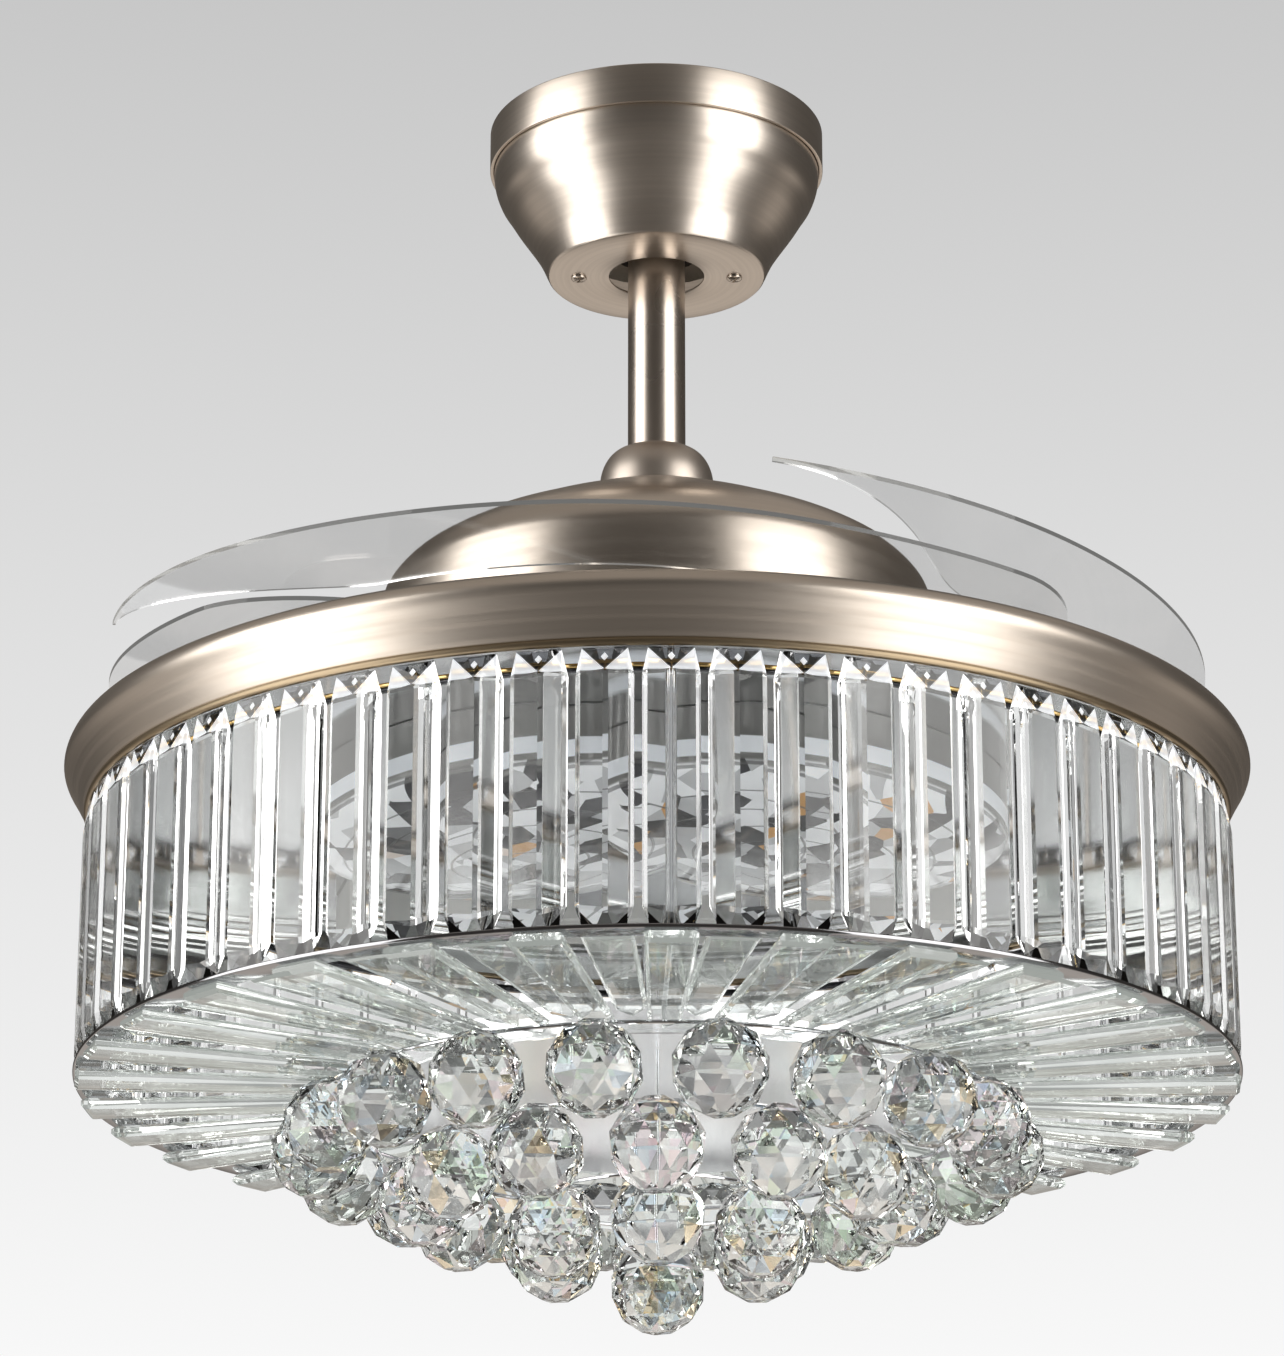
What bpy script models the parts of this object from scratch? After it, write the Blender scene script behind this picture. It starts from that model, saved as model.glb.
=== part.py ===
"""Chandelier ceiling fan with four folding clear blades and a crystal shade.

Units are metres and +Z is up. The origin is the centre of the ceiling bracket's
top face, where the bracket meets the ceiling, so the whole fan hangs below zero.
Heights are written as drops below the ceiling where they are driving sizes.
"""
import math

import bmesh
import bpy
from mathutils import Matrix, Vector

# Shared clearances and counts
GAP = 0.0003
OVERRUN = 0.004
MERGE = 0.0001
TURN = 2 * math.pi

# Ceiling bracket
PLATE_LENGTH = 0.118
PLATE_WIDTH = 0.036
PLATE_THICK = 0.0025
PLATE_SLOT_LENGTH = 0.014
PLATE_SLOT_WIDTH = 0.005
PLATE_SLOT_INSET = 0.013
WIRE_HOLE_RADIUS = 0.005
WIRE_HOLE_OFFSET = 0.0115
LEG_THICK = 0.0025
LEG_WIDTH = 0.018
LEG_INNER = 0.0345
SADDLE_RADIUS = 0.040
SADDLE_TOP_DROP = 0.006
SADDLE_BOTTOM_DROP = 0.015
POST_RADIUS = 0.004
POST_PLACE = 0.0355

# Canopy
CANOPY_HEIGHT = 0.071
CANOPY_SHEET = 0.0012
CANOPY_NECK_RADIUS = 0.0745
CANOPY_BOTTOM_RADIUS = 0.0493
CANOPY_HOLE_RADIUS = 0.0217
CANOPY_TOP_DROP = 0.003
TRIM_WALL = 0.0017
TRIM_TOP_DROP = 0.0005
TRIM_BOTTOM_DROP = 0.0195
CANOPY_SHARES = [(1.0, 0.10), (0.90, 0.25), (0.62, 0.48), (0.33, 0.69), (0.12, 0.87)]
SCREW_RADIUS = 0.0018
SCREW_LENGTH = 0.009
SCREW_HEAD_RADIUS = 0.0036
SCREW_HEAD_HEIGHT = 0.0016

# Electrical boxes under the bracket plate
RECEIVER_LENGTH = 0.054
RECEIVER_WIDTH = 0.032
RECEIVER_HEIGHT = 0.0108
TERMINAL_LENGTH = 0.013
TERMINAL_WIDTH = 0.024
TERMINAL_HEIGHT = 0.010
BOX_ROUND = 0.001

# Hanger ball, its liner and the pin that carries the rod
BALL_CENTRE_DROP = 0.042
BALL_RADIUS = 0.0235
BALL_TOP_CUT = 0.0165
BALL_BOTTOM_CUT = 0.0185
BALL_SEAT_GAP = 0.0008
LINER_WALL = 0.0025
LINER_TOP_CUT = 0.004
LINER_BOTTOM_CUT = 0.017
HANGER_PIN_RADIUS = 0.0026
HANGER_PIN_LENGTH = 0.035

# Down-rod and coupling
ROD_RADIUS = 0.013
ROD_WALL = 0.0015
ROD_ABOVE_BALL = 0.0068
ROD_BOTTOM_DROP = 0.187
COVER_TOP_DROP = 0.158
COVER_HEIGHT = 0.021
COVER_LIP = 0.0045
COVER_SHEET = 0.0012
COVER_TOP_RADIUS = 0.0148
COVER_BASE_RADIUS = 0.0256
COVER_ARCS = 3
COUPLER_RADIUS = 0.019
COUPLER_NECK_RADIUS = 0.0147
COUPLER_NECK_HEIGHT = 0.0062
COUPLER_BOTTOM_DROP = 0.204
COUPLER_BOLT_DROP = 0.172
BOLT_RADIUS = 0.0025
BOLT_HEAD_RADIUS = 0.0042
BOLT_HEAD_HEIGHT = 0.0024
NUT_WIDTH = 0.0080

# Hollow motor shaft and the nut that clamps the lamp tray to its flange
SHAFT_RADIUS = 0.010
SHAFT_BORE_RADIUS = 0.0065
SHAFT_FLANGE_RADIUS = 0.0185
SHAFT_FLANGE_THICK = 0.003
SHAFT_TAIL = 0.0085
SHAFT_NUT_WIDTH = 0.031
SHAFT_NUT_HEIGHT = 0.0065

# Motor cover, a single spun dome that turns with the motor
DOME_TOP_DROP = 0.180
DOME_SHEET = 0.0015
DOME_HOLE_RADIUS = 0.0215
DOME_LAND_RADIUS = 0.030
DOME_MARGIN = 0.0076
DOME_EDGE_DROP = 0.262
DOME_WALL_DROP = 0.2355
DOME_SHARES = [(0.30, 0.20), (0.75, 0.55), (0.89, 0.71), (0.97, 0.86)]

# Motor
CAN_RADIUS = 0.083
CAN_WALL = 0.003
CAN_TOP_DROP = 0.2075
CAN_BOTTOM_DROP = 0.253
CAN_CHAMFER = 0.003
COLLAR_INNER_RADIUS = 0.022
COLLAR_OUTER_RADIUS = 0.029
BEARING_RADIUS = 0.019
BEARING_HEIGHT = 0.008
BEARING_LIP = 0.0065
BEARING_LIP_THICK = 0.0012
BEARING_WALL = 0.004
END_CAP_THICK = 0.0045
MAGNET_THICK = 0.005
MAGNET_HEIGHT = 0.028
AIR_GAP = 0.0014
CORE_HEIGHT = 0.022
MOTOR_MIDDLE_DROP = 0.232
WINDING_HEIGHT = 0.0085
WINDING_CORE_MARGIN = 0.0073
WINDING_WIDTH = 0.022
WINDING_ROUND = 0.003

# Blade carrier, pivots, springs and gears
PIVOT_MARGIN = 0.017
PIVOT_FIRST_ANGLE = math.radians(86)
BLADE_COUNT = 4
CARRIER_MARGIN = 0.015
CARRIER_THICK = 0.003
CARRIER_BOSS_RADIUS = 0.0345
CARRIER_BOSS_INNER_RADIUS = 0.030
PIN_RADIUS = 0.004
PIN_BORE_GAP = 0.0006
PIN_HEAD_RADIUS = 0.0072
PIN_HEAD_HEIGHT = 0.002
SPRING_WIRE_RADIUS = 0.0006
SPRING_RADIUS = 0.0065
SPRING_PITCH = 0.0018
SPRING_TURNS = 3
SPRING_POINTS = 8
GEAR_THICK = 0.006
GEAR_BORE_GAP = 0.0006
HUB_TEETH = 12
HUB_TEETH_USED = 7
RING_TEETH = 48
RING_TEETH_USED = 8
RING_MARGIN = 1
HUB_HEIGHT = 0.0216
TOOTH_TIP_SHARE = 0.22
TOOTH_ROOT_SHARE = 0.52
ADDENDUM_SHARE = 0.80
DEDENDUM_SHARE = 1.10
RETAINER_RADIUS = 0.041
RETAINER_THICK = 0.0015

# Clear blades, each a strip that climbs from its pivot to its tip
BLADE_THICK = 0.0025
BLADE_TRAY_MARGIN = 0.0208
BLADE_WIDTH = 0.0665
BLADE_ROOT_HALF_WIDTH = 0.016
BLADE_RISE = 0.0392
BLADE_PITCH = math.radians(8)
BLADE_WRAP = math.radians(165)
BLADE_BACK = math.radians(8)
BLADE_LEVEL = math.radians(25)
BLADE_PITCHED_BY = math.radians(45)
BLADE_OUTER_REACHED_BY = math.radians(48)
BLADE_INNER_REACHED_BY = math.radians(60)
BLADE_TIP_TAPER = math.radians(38)
BLADE_STEPS = 22
BLADE_TIP_WIDTH = 0.0012

# Lamp tray, the wide spun ring above the crystals
TRAY_TOP_DROP = 0.3075
TRAY_SHEET = 0.0015
TRAY_OVERHANG = 0.0093
TRAY_SHOULDER = 0.0108
TRAY_TAPER = 0.0103
TRAY_WIDEST_DROP = 0.3150
TRAY_BOTTOM_DROP = 0.336
TRAY_SHOULDER_SHARES = [(0.55, 0.12), (0.87, 0.45)]

# Light unit under the tray
SINK_INNER_RADIUS = 0.020
SINK_MARGIN = 0.008
SINK_HEIGHT = 0.012
BOARD_MARGIN = 0.020
BOARD_THICK = 0.0016
DIFFUSER_RADIUS = 0.098
DIFFUSER_DEPTH = 0.041
DIFFUSER_SHEET = 0.0018
DIFFUSER_SHARES = [(1.0, 0.0), (1.0, 0.50), (0.86, 0.78), (0.50, 0.94)]
DRIVER_LENGTH = 0.100
DRIVER_WIDTH = 0.040
DRIVER_HEIGHT = 0.024

# Crystal shade
PRISM_COUNT = 60
PRISM_FIRST_ANGLE = math.radians(-88.7)
PRISM_FACE_RADIUS = 0.2500
PRISM_SPACING = 0.0015
PRISM_EDGE_SLANT = 0.0036
PRISM_DEPTH = 0.0082
PRISM_TOP_DROP = 0.3385
PRISM_BOTTOM_DROP = 0.4507
PRISM_WIRE_BELOW_TOP = 0.0055
WIRE_HALF = 0.0010
FRAME_RING_WIDTH = 0.004
FRAME_RING_THICK = 0.003
FRAME_WIRE_RADIUS = 0.0015
FRAME_LEGS = 6
SPOKE_RADIUS = 0.0012
BASE_RING_OVERHANG = 0.0005
BASE_RING_WIDTH = 0.0125
BASE_RING_THICK = 0.002
BAR_COUNT = 30
BAR_ROOT_WIDTH = 0.0140
BAR_END_MARGIN = 0.0026
BAR_THICK = 0.0050
BAR_INNER_RADIUS = 0.1175
BAR_RIM = 0.0018
BAR_END_GAP = 0.0012
BALL_PLATE_LAP = 0.0055
BALL_PLATE_THICK = 0.0020
BALL_PLATE_RIM_MARGIN = 0.0043
BALL_PLATE_RIM_WALL = 0.0025
BALL_PLATE_RIM_RISE = 0.0150
ARM_WIDTH = 0.004
SPOKE_DROP = 0.4463

# Crystal balls: ring radius, number and drop of each tier
CRYSTAL_BALL_RADIUS = 0.0205
TIER_RADII = (0.146, 0.0998, 0.0500, 0.0)
TIER_COUNTS = (18, 12, 6, 1)
TIER_DROPS = (0.4805, 0.5010, 0.5200, 0.5390)
TIER_OFFSETS = (math.radians(-80), math.radians(-90), math.radians(-90), 0.0)
TIER_RING_RISE = 0.0186
TIER_PIN_RADIUS = 0.0009
TIER_PINS = 3

# Facet counts of the turned pieces
TRAY_STEPS = 44
DOME_STEPS = 34
RING_STEPS = 36
CANOPY_STEPS = 30
MOTOR_STEPS = 20
SMALL_STEPS = 16
HIDDEN_STEPS = 12
BALL_SIDES = 6
BALL_RINGS = 4

# Stack heights worked out from the sizes above
BALL_CENTRE = -BALL_CENTRE_DROP
LINER_INNER_RADIUS = BALL_RADIUS + BALL_SEAT_GAP
LINER_OUTER_RADIUS = LINER_INNER_RADIUS + LINER_WALL
SADDLE_SEAT_RADIUS = LINER_OUTER_RADIUS + BALL_SEAT_GAP
CANOPY_FLOOR = -(CANOPY_HEIGHT - CANOPY_SHEET)
ROD_TOP = BALL_CENTRE + BALL_TOP_CUT + ROD_ABOVE_BALL
COUPLER_TOP = -(COVER_TOP_DROP + COVER_SHEET + GAP)
SHAFT_TOP = -(ROD_BOTTOM_DROP + GAP + COVER_SHEET)
TRAY_TOP = -TRAY_TOP_DROP
TRAY_UNDERSIDE = TRAY_TOP - TRAY_SHEET
LIGHT_TOP = TRAY_UNDERSIDE - GAP
END_CAP_BOTTOM = -(CAN_BOTTOM_DROP + GAP + END_CAP_THICK)
CARRIER_TOP = END_CAP_BOTTOM - GAP
CARRIER_BOTTOM = CARRIER_TOP - CARRIER_THICK
SPRING_HEIGHT = SPRING_TURNS * SPRING_PITCH + 2 * SPRING_WIRE_RADIUS
GEAR_TOP = CARRIER_BOTTOM - 2 * GAP - SPRING_HEIGHT
HUB_BOTTOM = GEAR_TOP - HUB_HEIGHT
BLADE_ROOT_LEVEL = HUB_BOTTOM - GAP - BLADE_THICK / 2
CORE_RADIUS = CAN_RADIUS - CAN_WALL - GAP - MAGNET_THICK - AIR_GAP
WINDING_OUTER_RADIUS = CORE_RADIUS - WINDING_CORE_MARGIN
WINDING_INNER_RADIUS = WINDING_OUTER_RADIUS - WINDING_WIDTH
PIVOT_RADIUS = CAN_RADIUS + PIVOT_MARGIN
CARRIER_RADIUS = PIVOT_RADIUS + CARRIER_MARGIN
DOME_RADIUS = CARRIER_RADIUS + DOME_MARGIN
HUB_PITCH_RADIUS = PIVOT_RADIUS * HUB_TEETH / (HUB_TEETH + RING_TEETH)
RING_PITCH_RADIUS = PIVOT_RADIUS - HUB_PITCH_RADIUS
GEAR_MODULE = 2 * HUB_PITCH_RADIUS / HUB_TEETH
BASE_RING_TOP = -(PRISM_BOTTOM_DROP + GAP)
BASE_RING_BOTTOM = BASE_RING_TOP - BASE_RING_THICK
UPPER_BAR_BOTTOM = BASE_RING_BOTTOM
LOWER_BAR_TOP = UPPER_BAR_BOTTOM - GAP
LOWER_BAR_BOTTOM = LOWER_BAR_TOP - BAR_THICK
BALL_PLATE_TOP = LOWER_BAR_BOTTOM - GAP
BALL_PLATE_BOTTOM = BALL_PLATE_TOP - BALL_PLATE_THICK
PRISM_CENTRE_RADIUS = PRISM_FACE_RADIUS - PRISM_DEPTH / 2
PRISM_PITCH = 2 * PRISM_CENTRE_RADIUS * math.sin(math.pi / PRISM_COUNT)
PRISM_WIDTH = PRISM_PITCH - PRISM_SPACING
PRISM_FACE_WIDTH = PRISM_WIDTH - 2 * PRISM_EDGE_SLANT
BAR_END_WIDTH = PRISM_WIDTH - BAR_END_MARGIN
BASE_RING_OUTER_RADIUS = PRISM_FACE_RADIUS + BASE_RING_OVERHANG
BASE_RING_INNER_RADIUS = BASE_RING_OUTER_RADIUS - BASE_RING_WIDTH
TRAY_RADIUS = PRISM_FACE_RADIUS + TRAY_OVERHANG
TRAY_LIP_RADIUS = TRAY_RADIUS - TRAY_SHOULDER
TRAY_BOTTOM_RADIUS = TRAY_RADIUS - TRAY_TAPER
BLADE_OUTER_RADIUS = TRAY_RADIUS - BLADE_TRAY_MARGIN
BLADE_INNER_RADIUS = BLADE_OUTER_RADIUS - BLADE_WIDTH
PRISM_BACK_RADIUS = PRISM_FACE_RADIUS - PRISM_DEPTH
CURTAIN_WIRE_RADIUS = PRISM_BACK_RADIUS + WIRE_HALF + 2 * GAP
FRAME_RING_OUTER_RADIUS = PRISM_BACK_RADIUS - GAP
LEG_CIRCLE_RADIUS = FRAME_RING_OUTER_RADIUS - FRAME_RING_WIDTH / 2
BOARD_RADIUS = DIFFUSER_RADIUS - BOARD_MARGIN
SINK_RADIUS = BOARD_RADIUS - SINK_MARGIN
BALL_PLATE_RADIUS = BAR_INNER_RADIUS + BALL_PLATE_LAP
BALL_PLATE_RIM_RADIUS = BAR_INNER_RADIUS - BALL_PLATE_RIM_MARGIN
DRIVER_PLACE = (DIFFUSER_RADIUS + LEG_CIRCLE_RADIUS) / 2
PRISM_WIRE_LEVEL = -(PRISM_TOP_DROP + PRISM_WIRE_BELOW_TOP)


def clear_scene():
    for old in list(bpy.data.objects):
        bpy.data.objects.remove(old, do_unlink=True)


def new_collection(name):
    made = bpy.data.collections.new(name)
    bpy.context.scene.collection.children.link(made)
    return made


clear_scene()
FAN = new_collection("chandelier_ceiling_fan")
CUTTERS = new_collection("cutters")


def principled(name, colour, roughness, metallic, alpha=1.0):
    made = bpy.data.materials.new(name)
    made.use_nodes = True
    shader = made.node_tree.nodes["Principled BSDF"]
    shader.inputs["Base Color"].default_value = (*colour, 1.0)
    shader.inputs["Roughness"].default_value = roughness
    shader.inputs["Metallic"].default_value = metallic
    shader.inputs["Alpha"].default_value = alpha
    made.diffuse_color = (*colour, alpha)
    return made


NICKEL = principled("satin_nickel", (0.56, 0.51, 0.46), 0.32, 1.0)
ZINC = principled("zinc_plated_steel", (0.62, 0.63, 0.64), 0.38, 1.0)
CHROME = principled("chrome", (0.80, 0.80, 0.82), 0.10, 1.0)
BRASS = principled("brass", (0.72, 0.52, 0.26), 0.25, 1.0)
ALUMINIUM = principled("cast_aluminium", (0.70, 0.71, 0.72), 0.42, 1.0)
CORE_STEEL = principled("core_steel", (0.30, 0.30, 0.32), 0.55, 1.0)
COPPER = principled("copper_winding", (0.70, 0.36, 0.20), 0.40, 1.0)
MAGNET = principled("magnet", (0.09, 0.09, 0.10), 0.60, 0.0)
NYLON = principled("nylon", (0.88, 0.87, 0.83), 0.50, 0.0)
BLACK_PLASTIC = principled("black_plastic", (0.03, 0.03, 0.05), 0.45, 0.0)
WHITE_PLASTIC = principled("white_plastic", (0.86, 0.86, 0.85), 0.42, 0.0)
MILKY = principled("milky_acrylic", (0.93, 0.93, 0.91), 0.30, 0.0)
CRYSTAL = principled("crystal_glass", (0.90, 0.95, 0.94), 0.02, 0.0, 0.35)
CLEAR_ACRYLIC = principled("clear_acrylic", (0.88, 0.90, 0.91), 0.05, 0.0, 0.35)


def add_object(name, data, material):
    made = bpy.data.objects.new(name, data)
    FAN.objects.link(made)
    if material is not None:
        data.materials.append(material)
    return made


def mark_cutter(made):
    made.display_type = "WIRE"
    made.hide_render = True
    return made


def shade(made, angle=math.radians(32)):
    made.data.shade_smooth()
    made.data.set_sharp_from_angle(angle=angle)
    return made


def profile_mesh(name, points, closed):
    mesh = bpy.data.meshes.new(name)
    shape = bmesh.new()
    corners = [shape.verts.new((radius, 0, height)) for radius, height in points]
    for start, end in zip(corners, corners[1:]):
        shape.edges.new((start, end))
    if closed:
        shape.edges.new((corners[-1], corners[0]))
    shape.to_mesh(mesh)
    shape.free()
    return mesh


def turned(name, points, steps, material, wall=0):
    """A turned shape; points run down the outer side, and a wall makes it a shell."""
    closed = not wall and points[0][0] > 0
    made = add_object(name, profile_mesh(name, points, closed), material)
    screw = made.modifiers.new("Turn", "SCREW")
    screw.axis = "Z"
    screw.angle = TURN
    screw.steps = steps
    screw.render_steps = steps
    screw.use_merge_vertices = True
    screw.merge_threshold = MERGE
    screw.use_smooth_shade = True
    if wall:
        shell = made.modifiers.new("Wall", "SOLIDIFY")
        shell.thickness = wall
        shell.offset = -1
        shell.use_even_offset = True
    return made


def ring_points(inner, outer, bottom, top):
    return [(outer, top), (outer, bottom), (inner, bottom), (inner, top)]


def disc_points(radius, bottom, top):
    return [(0, top), (radius, top), (radius, bottom), (0, bottom)]


def boolean(made, operand, operation):
    """Join or cut with another object, which becomes a hidden guide."""
    for holder in list(operand.users_collection):
        holder.objects.unlink(operand)
    CUTTERS.objects.link(operand)
    mark_cutter(operand)
    step = made.modifiers.new(operation.title(), "BOOLEAN")
    step.operation = operation
    step.solver = "EXACT"
    step.object = operand
    return made


def as_mesh(made):
    """A curve or a stack of modifiers as one welded mesh object with the same name."""
    name = made.name
    bpy.context.view_layer.update()
    seen = made.evaluated_get(bpy.context.evaluated_depsgraph_get())
    mesh = bpy.data.meshes.new_from_object(seen)
    shape = bmesh.new()
    shape.from_mesh(mesh)
    bmesh.ops.remove_doubles(shape, verts=shape.verts, dist=MERGE / 10)
    shape.to_mesh(mesh)
    shape.free()
    where = made.matrix_world.copy()
    holder = made.users_collection[0]
    bpy.data.objects.remove(made, do_unlink=True)
    fresh = bpy.data.objects.new(name, mesh)
    holder.objects.link(fresh)
    fresh.matrix_world = where
    return fresh


def flat_solid(name, outlines, bottom, thick, material):
    """A flat outline, with any holes as further outlines, raised from bottom by thick."""
    curve = bpy.data.curves.new(name, "CURVE")
    curve.dimensions = "2D"
    curve.fill_mode = "BOTH"
    curve.extrude = thick / 2
    for outline in outlines:
        spline = curve.splines.new("POLY")
        spline.points.add(len(outline) - 1)
        for point, (x, y) in zip(spline.points, outline):
            point.co = (x, y, 0, 1)
        spline.use_cyclic_u = True
    made = add_object(name, curve, material)
    made.location.z = bottom + thick / 2
    return as_mesh(made)


def circle(radius, steps, centre=(0, 0), phase=0):
    return [
        (centre[0] + radius * math.cos(phase + TURN * step / steps),
         centre[1] + radius * math.sin(phase + TURN * step / steps))
        for step in range(steps)
    ]


def bodies_object(name, fill, material):
    """One mesh object that a function fills with simple closed bodies."""
    mesh = bpy.data.meshes.new(name)
    shape = bmesh.new()
    fill(shape)
    shape.to_mesh(mesh)
    shape.free()
    return add_object(name, mesh, material)


def add_rod(shape, start, end, radius, sides):
    start = Vector(start)
    end = Vector(end)
    along = end - start
    turn = along.to_track_quat("Z", "Y").to_matrix().to_4x4()
    middle = Matrix.Translation((start + end) / 2)
    bmesh.ops.create_cone(
        shape, cap_ends=True, segments=sides, radius1=radius, radius2=radius,
        depth=along.length, matrix=middle @ turn)


def add_box(shape, centre, size, turn=0):
    place = Matrix.Translation(Vector(centre)) @ Matrix.Rotation(turn, 4, "Z")
    bmesh.ops.create_cube(shape, size=1, matrix=place @ Matrix.Diagonal((*size, 1)))


def polar(radius, angle, height=0):
    return Vector((radius * math.cos(angle), radius * math.sin(angle), height))


def sphere_arc(radius, low, high, steps):
    """Points of a sphere's outline from height low to high, about its own centre."""
    first = math.asin(low / radius)
    last = math.asin(high / radius)
    angles = [first + (last - first) * step / steps for step in range(steps + 1)]
    return [(radius * math.cos(angle), radius * math.sin(angle)) for angle in angles]


def smooth(share):
    share = min(max(share, 0), 1)
    return share * share * (3 - 2 * share)


def empty_at(name, place):
    made = bpy.data.objects.new(name, None)
    made.location = place
    FAN.objects.link(made)
    return made


def hang_on(parent, *pieces):
    bpy.context.view_layer.update()
    for piece in pieces:
        piece.parent = parent
        piece.matrix_parent_inverse = parent.matrix_world.inverted()


# Ceiling mount

def slot_outline(middle):
    reach = (PLATE_SLOT_LENGTH - PLATE_SLOT_WIDTH) / 2
    bow = PLATE_SLOT_WIDTH / 2
    return [(middle - reach, -bow), (middle + reach, -bow), (middle + reach + bow, 0),
            (middle + reach, bow), (middle - reach, bow), (middle - reach - bow, 0)]


def make_bracket():
    def fill_plate(shape):
        add_box(shape, (0, 0, -PLATE_THICK / 2), (PLATE_LENGTH, PLATE_WIDTH, PLATE_THICK))

    def fill_wire_hole(shape):
        add_rod(shape, (0, WIRE_HOLE_OFFSET, OVERRUN), (0, WIRE_HOLE_OFFSET, -OVERRUN - PLATE_THICK),
                WIRE_HOLE_RADIUS, HIDDEN_STEPS)

    bracket = bodies_object("ceiling_bracket", fill_plate, ZINC)
    for side in (-1, 1):
        middle = side * (PLATE_LENGTH / 2 - PLATE_SLOT_INSET)
        slot = flat_solid(f"slot_guide_{(side + 3) // 2}", [slot_outline(middle)],
                          -PLATE_THICK - OVERRUN, PLATE_THICK + 2 * OVERRUN, None)
        boolean(bracket, slot, "DIFFERENCE")
    boolean(bracket, bodies_object("wire_hole_guide", fill_wire_hole, None), "DIFFERENCE")
    saddle_top = BALL_CENTRE - SADDLE_TOP_DROP
    saddle_bottom = BALL_CENTRE - SADDLE_BOTTOM_DROP
    seat = [(radius, BALL_CENTRE + height) for radius, height in
            sphere_arc(SADDLE_SEAT_RADIUS, -SADDLE_BOTTOM_DROP, -SADDLE_TOP_DROP, 2)]
    saddle = turned(
        "saddle_guide", [(SADDLE_RADIUS, saddle_top), (SADDLE_RADIUS, saddle_bottom), *seat],
        SMALL_STEPS, None)
    leg_top = -PLATE_THICK / 2
    leg_bottom = (saddle_top + saddle_bottom) / 2

    def fill_legs(shape):
        for side in (-1, 1):
            centre = (side * (LEG_INNER + LEG_THICK / 2), 0, (leg_top + leg_bottom) / 2)
            add_box(shape, centre, (LEG_THICK, LEG_WIDTH, leg_top - leg_bottom))

    def fill_posts(shape):
        for side in (-1, 1):
            place = side * POST_PLACE
            add_rod(shape, (place, 0, leg_bottom - OVERRUN / 4), (place, 0, CANOPY_FLOOR + GAP),
                    POST_RADIUS, 10)

    def fill_screw_holes(shape):
        for side in (-1, 1):
            place = side * POST_PLACE
            add_rod(shape, (place, 0, CANOPY_FLOOR - OVERRUN),
                    (place, 0, CANOPY_FLOOR + SCREW_LENGTH), SCREW_RADIUS + GAP, 8)

    boolean(bracket, saddle, "UNION")
    boolean(bracket, bodies_object("leg_guide", fill_legs, None), "UNION")
    boolean(bracket, bodies_object("post_guide", fill_posts, None), "UNION")
    boolean(bracket, bodies_object("post_hole_guide", fill_screw_holes, None), "DIFFERENCE")
    return bracket


def canopy_outline():
    """The cup's outer side from its neck to the edge of its floor hole."""
    seam = -TRIM_BOTTOM_DROP
    floor = -CANOPY_HEIGHT
    spread = CANOPY_NECK_RADIUS - CANOPY_BOTTOM_RADIUS
    points = [(CANOPY_NECK_RADIUS, -CANOPY_TOP_DROP)]
    for radius_share, drop_share in CANOPY_SHARES:
        points.append((CANOPY_BOTTOM_RADIUS + spread * radius_share,
                       seam + (floor - seam) * drop_share))
    points.append((CANOPY_BOTTOM_RADIUS, floor))
    points.append((CANOPY_HOLE_RADIUS, floor))
    return points


def make_canopy():
    cup = turned("canopy_cup", canopy_outline(), CANOPY_STEPS, NICKEL,
                 wall=CANOPY_SHEET)

    def fill_holes(shape):
        for side in (-1, 1):
            place = side * POST_PLACE
            add_rod(shape, (place, 0, CANOPY_FLOOR + OVERRUN),
                    (place, 0, -CANOPY_HEIGHT - OVERRUN), SCREW_RADIUS + GAP, 8)

    boolean(cup, bodies_object("canopy_hole_guide", fill_holes, None), "DIFFERENCE")
    inner = CANOPY_NECK_RADIUS + GAP
    trim = turned(
        "canopy_trim_ring",
        ring_points(inner, inner + TRIM_WALL, -TRIM_BOTTOM_DROP, -TRIM_TOP_DROP),
        CANOPY_STEPS, NICKEL)
    return [cup, trim]


def make_canopy_screws():
    head_top = -CANOPY_HEIGHT - GAP
    shank_top = CANOPY_FLOOR + SCREW_LENGTH - 2 * GAP
    points = [(0, shank_top), (SCREW_RADIUS, shank_top), (SCREW_RADIUS, head_top),
              (SCREW_HEAD_RADIUS, head_top), (SCREW_HEAD_RADIUS, head_top - SCREW_HEAD_HEIGHT / 2),
              (SCREW_RADIUS, head_top - SCREW_HEAD_HEIGHT), (0, head_top - SCREW_HEAD_HEIGHT)]
    screws = []
    for number, side in enumerate((-1, 1), start=1):
        screw = turned(f"canopy_screw_{number}", points, 8, ZINC)
        screw.location.x = side * POST_PLACE
        screws.append(screw)
    return screws


def rounded_box(name, centre, size, material):
    bpy.ops.mesh.primitive_cube_add(size=1, location=centre)
    made = bpy.context.object
    made.name = name
    for holder in list(made.users_collection):
        holder.objects.unlink(made)
    FAN.objects.link(made)
    made.scale = size
    bpy.ops.object.transform_apply(location=False, rotation=False, scale=True)
    edges = made.modifiers.new("Edges", "BEVEL")
    edges.width = BOX_ROUND
    edges.segments = 1
    made.data.materials.append(material)
    return made


def make_boxes():
    top = -PLATE_THICK - GAP
    receiver = rounded_box(
        "receiver_box", (0, 0, top - RECEIVER_HEIGHT / 2),
        (RECEIVER_LENGTH, RECEIVER_WIDTH, RECEIVER_HEIGHT), WHITE_PLASTIC)
    place = LEG_INNER + LEG_THICK + 4 * GAP + TERMINAL_LENGTH / 2
    terminal = rounded_box(
        "terminal_block", (place, 0, top - TERMINAL_HEIGHT / 2),
        (TERMINAL_LENGTH, TERMINAL_WIDTH, TERMINAL_HEIGHT), BLACK_PLASTIC)
    return [receiver, terminal]


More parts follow.
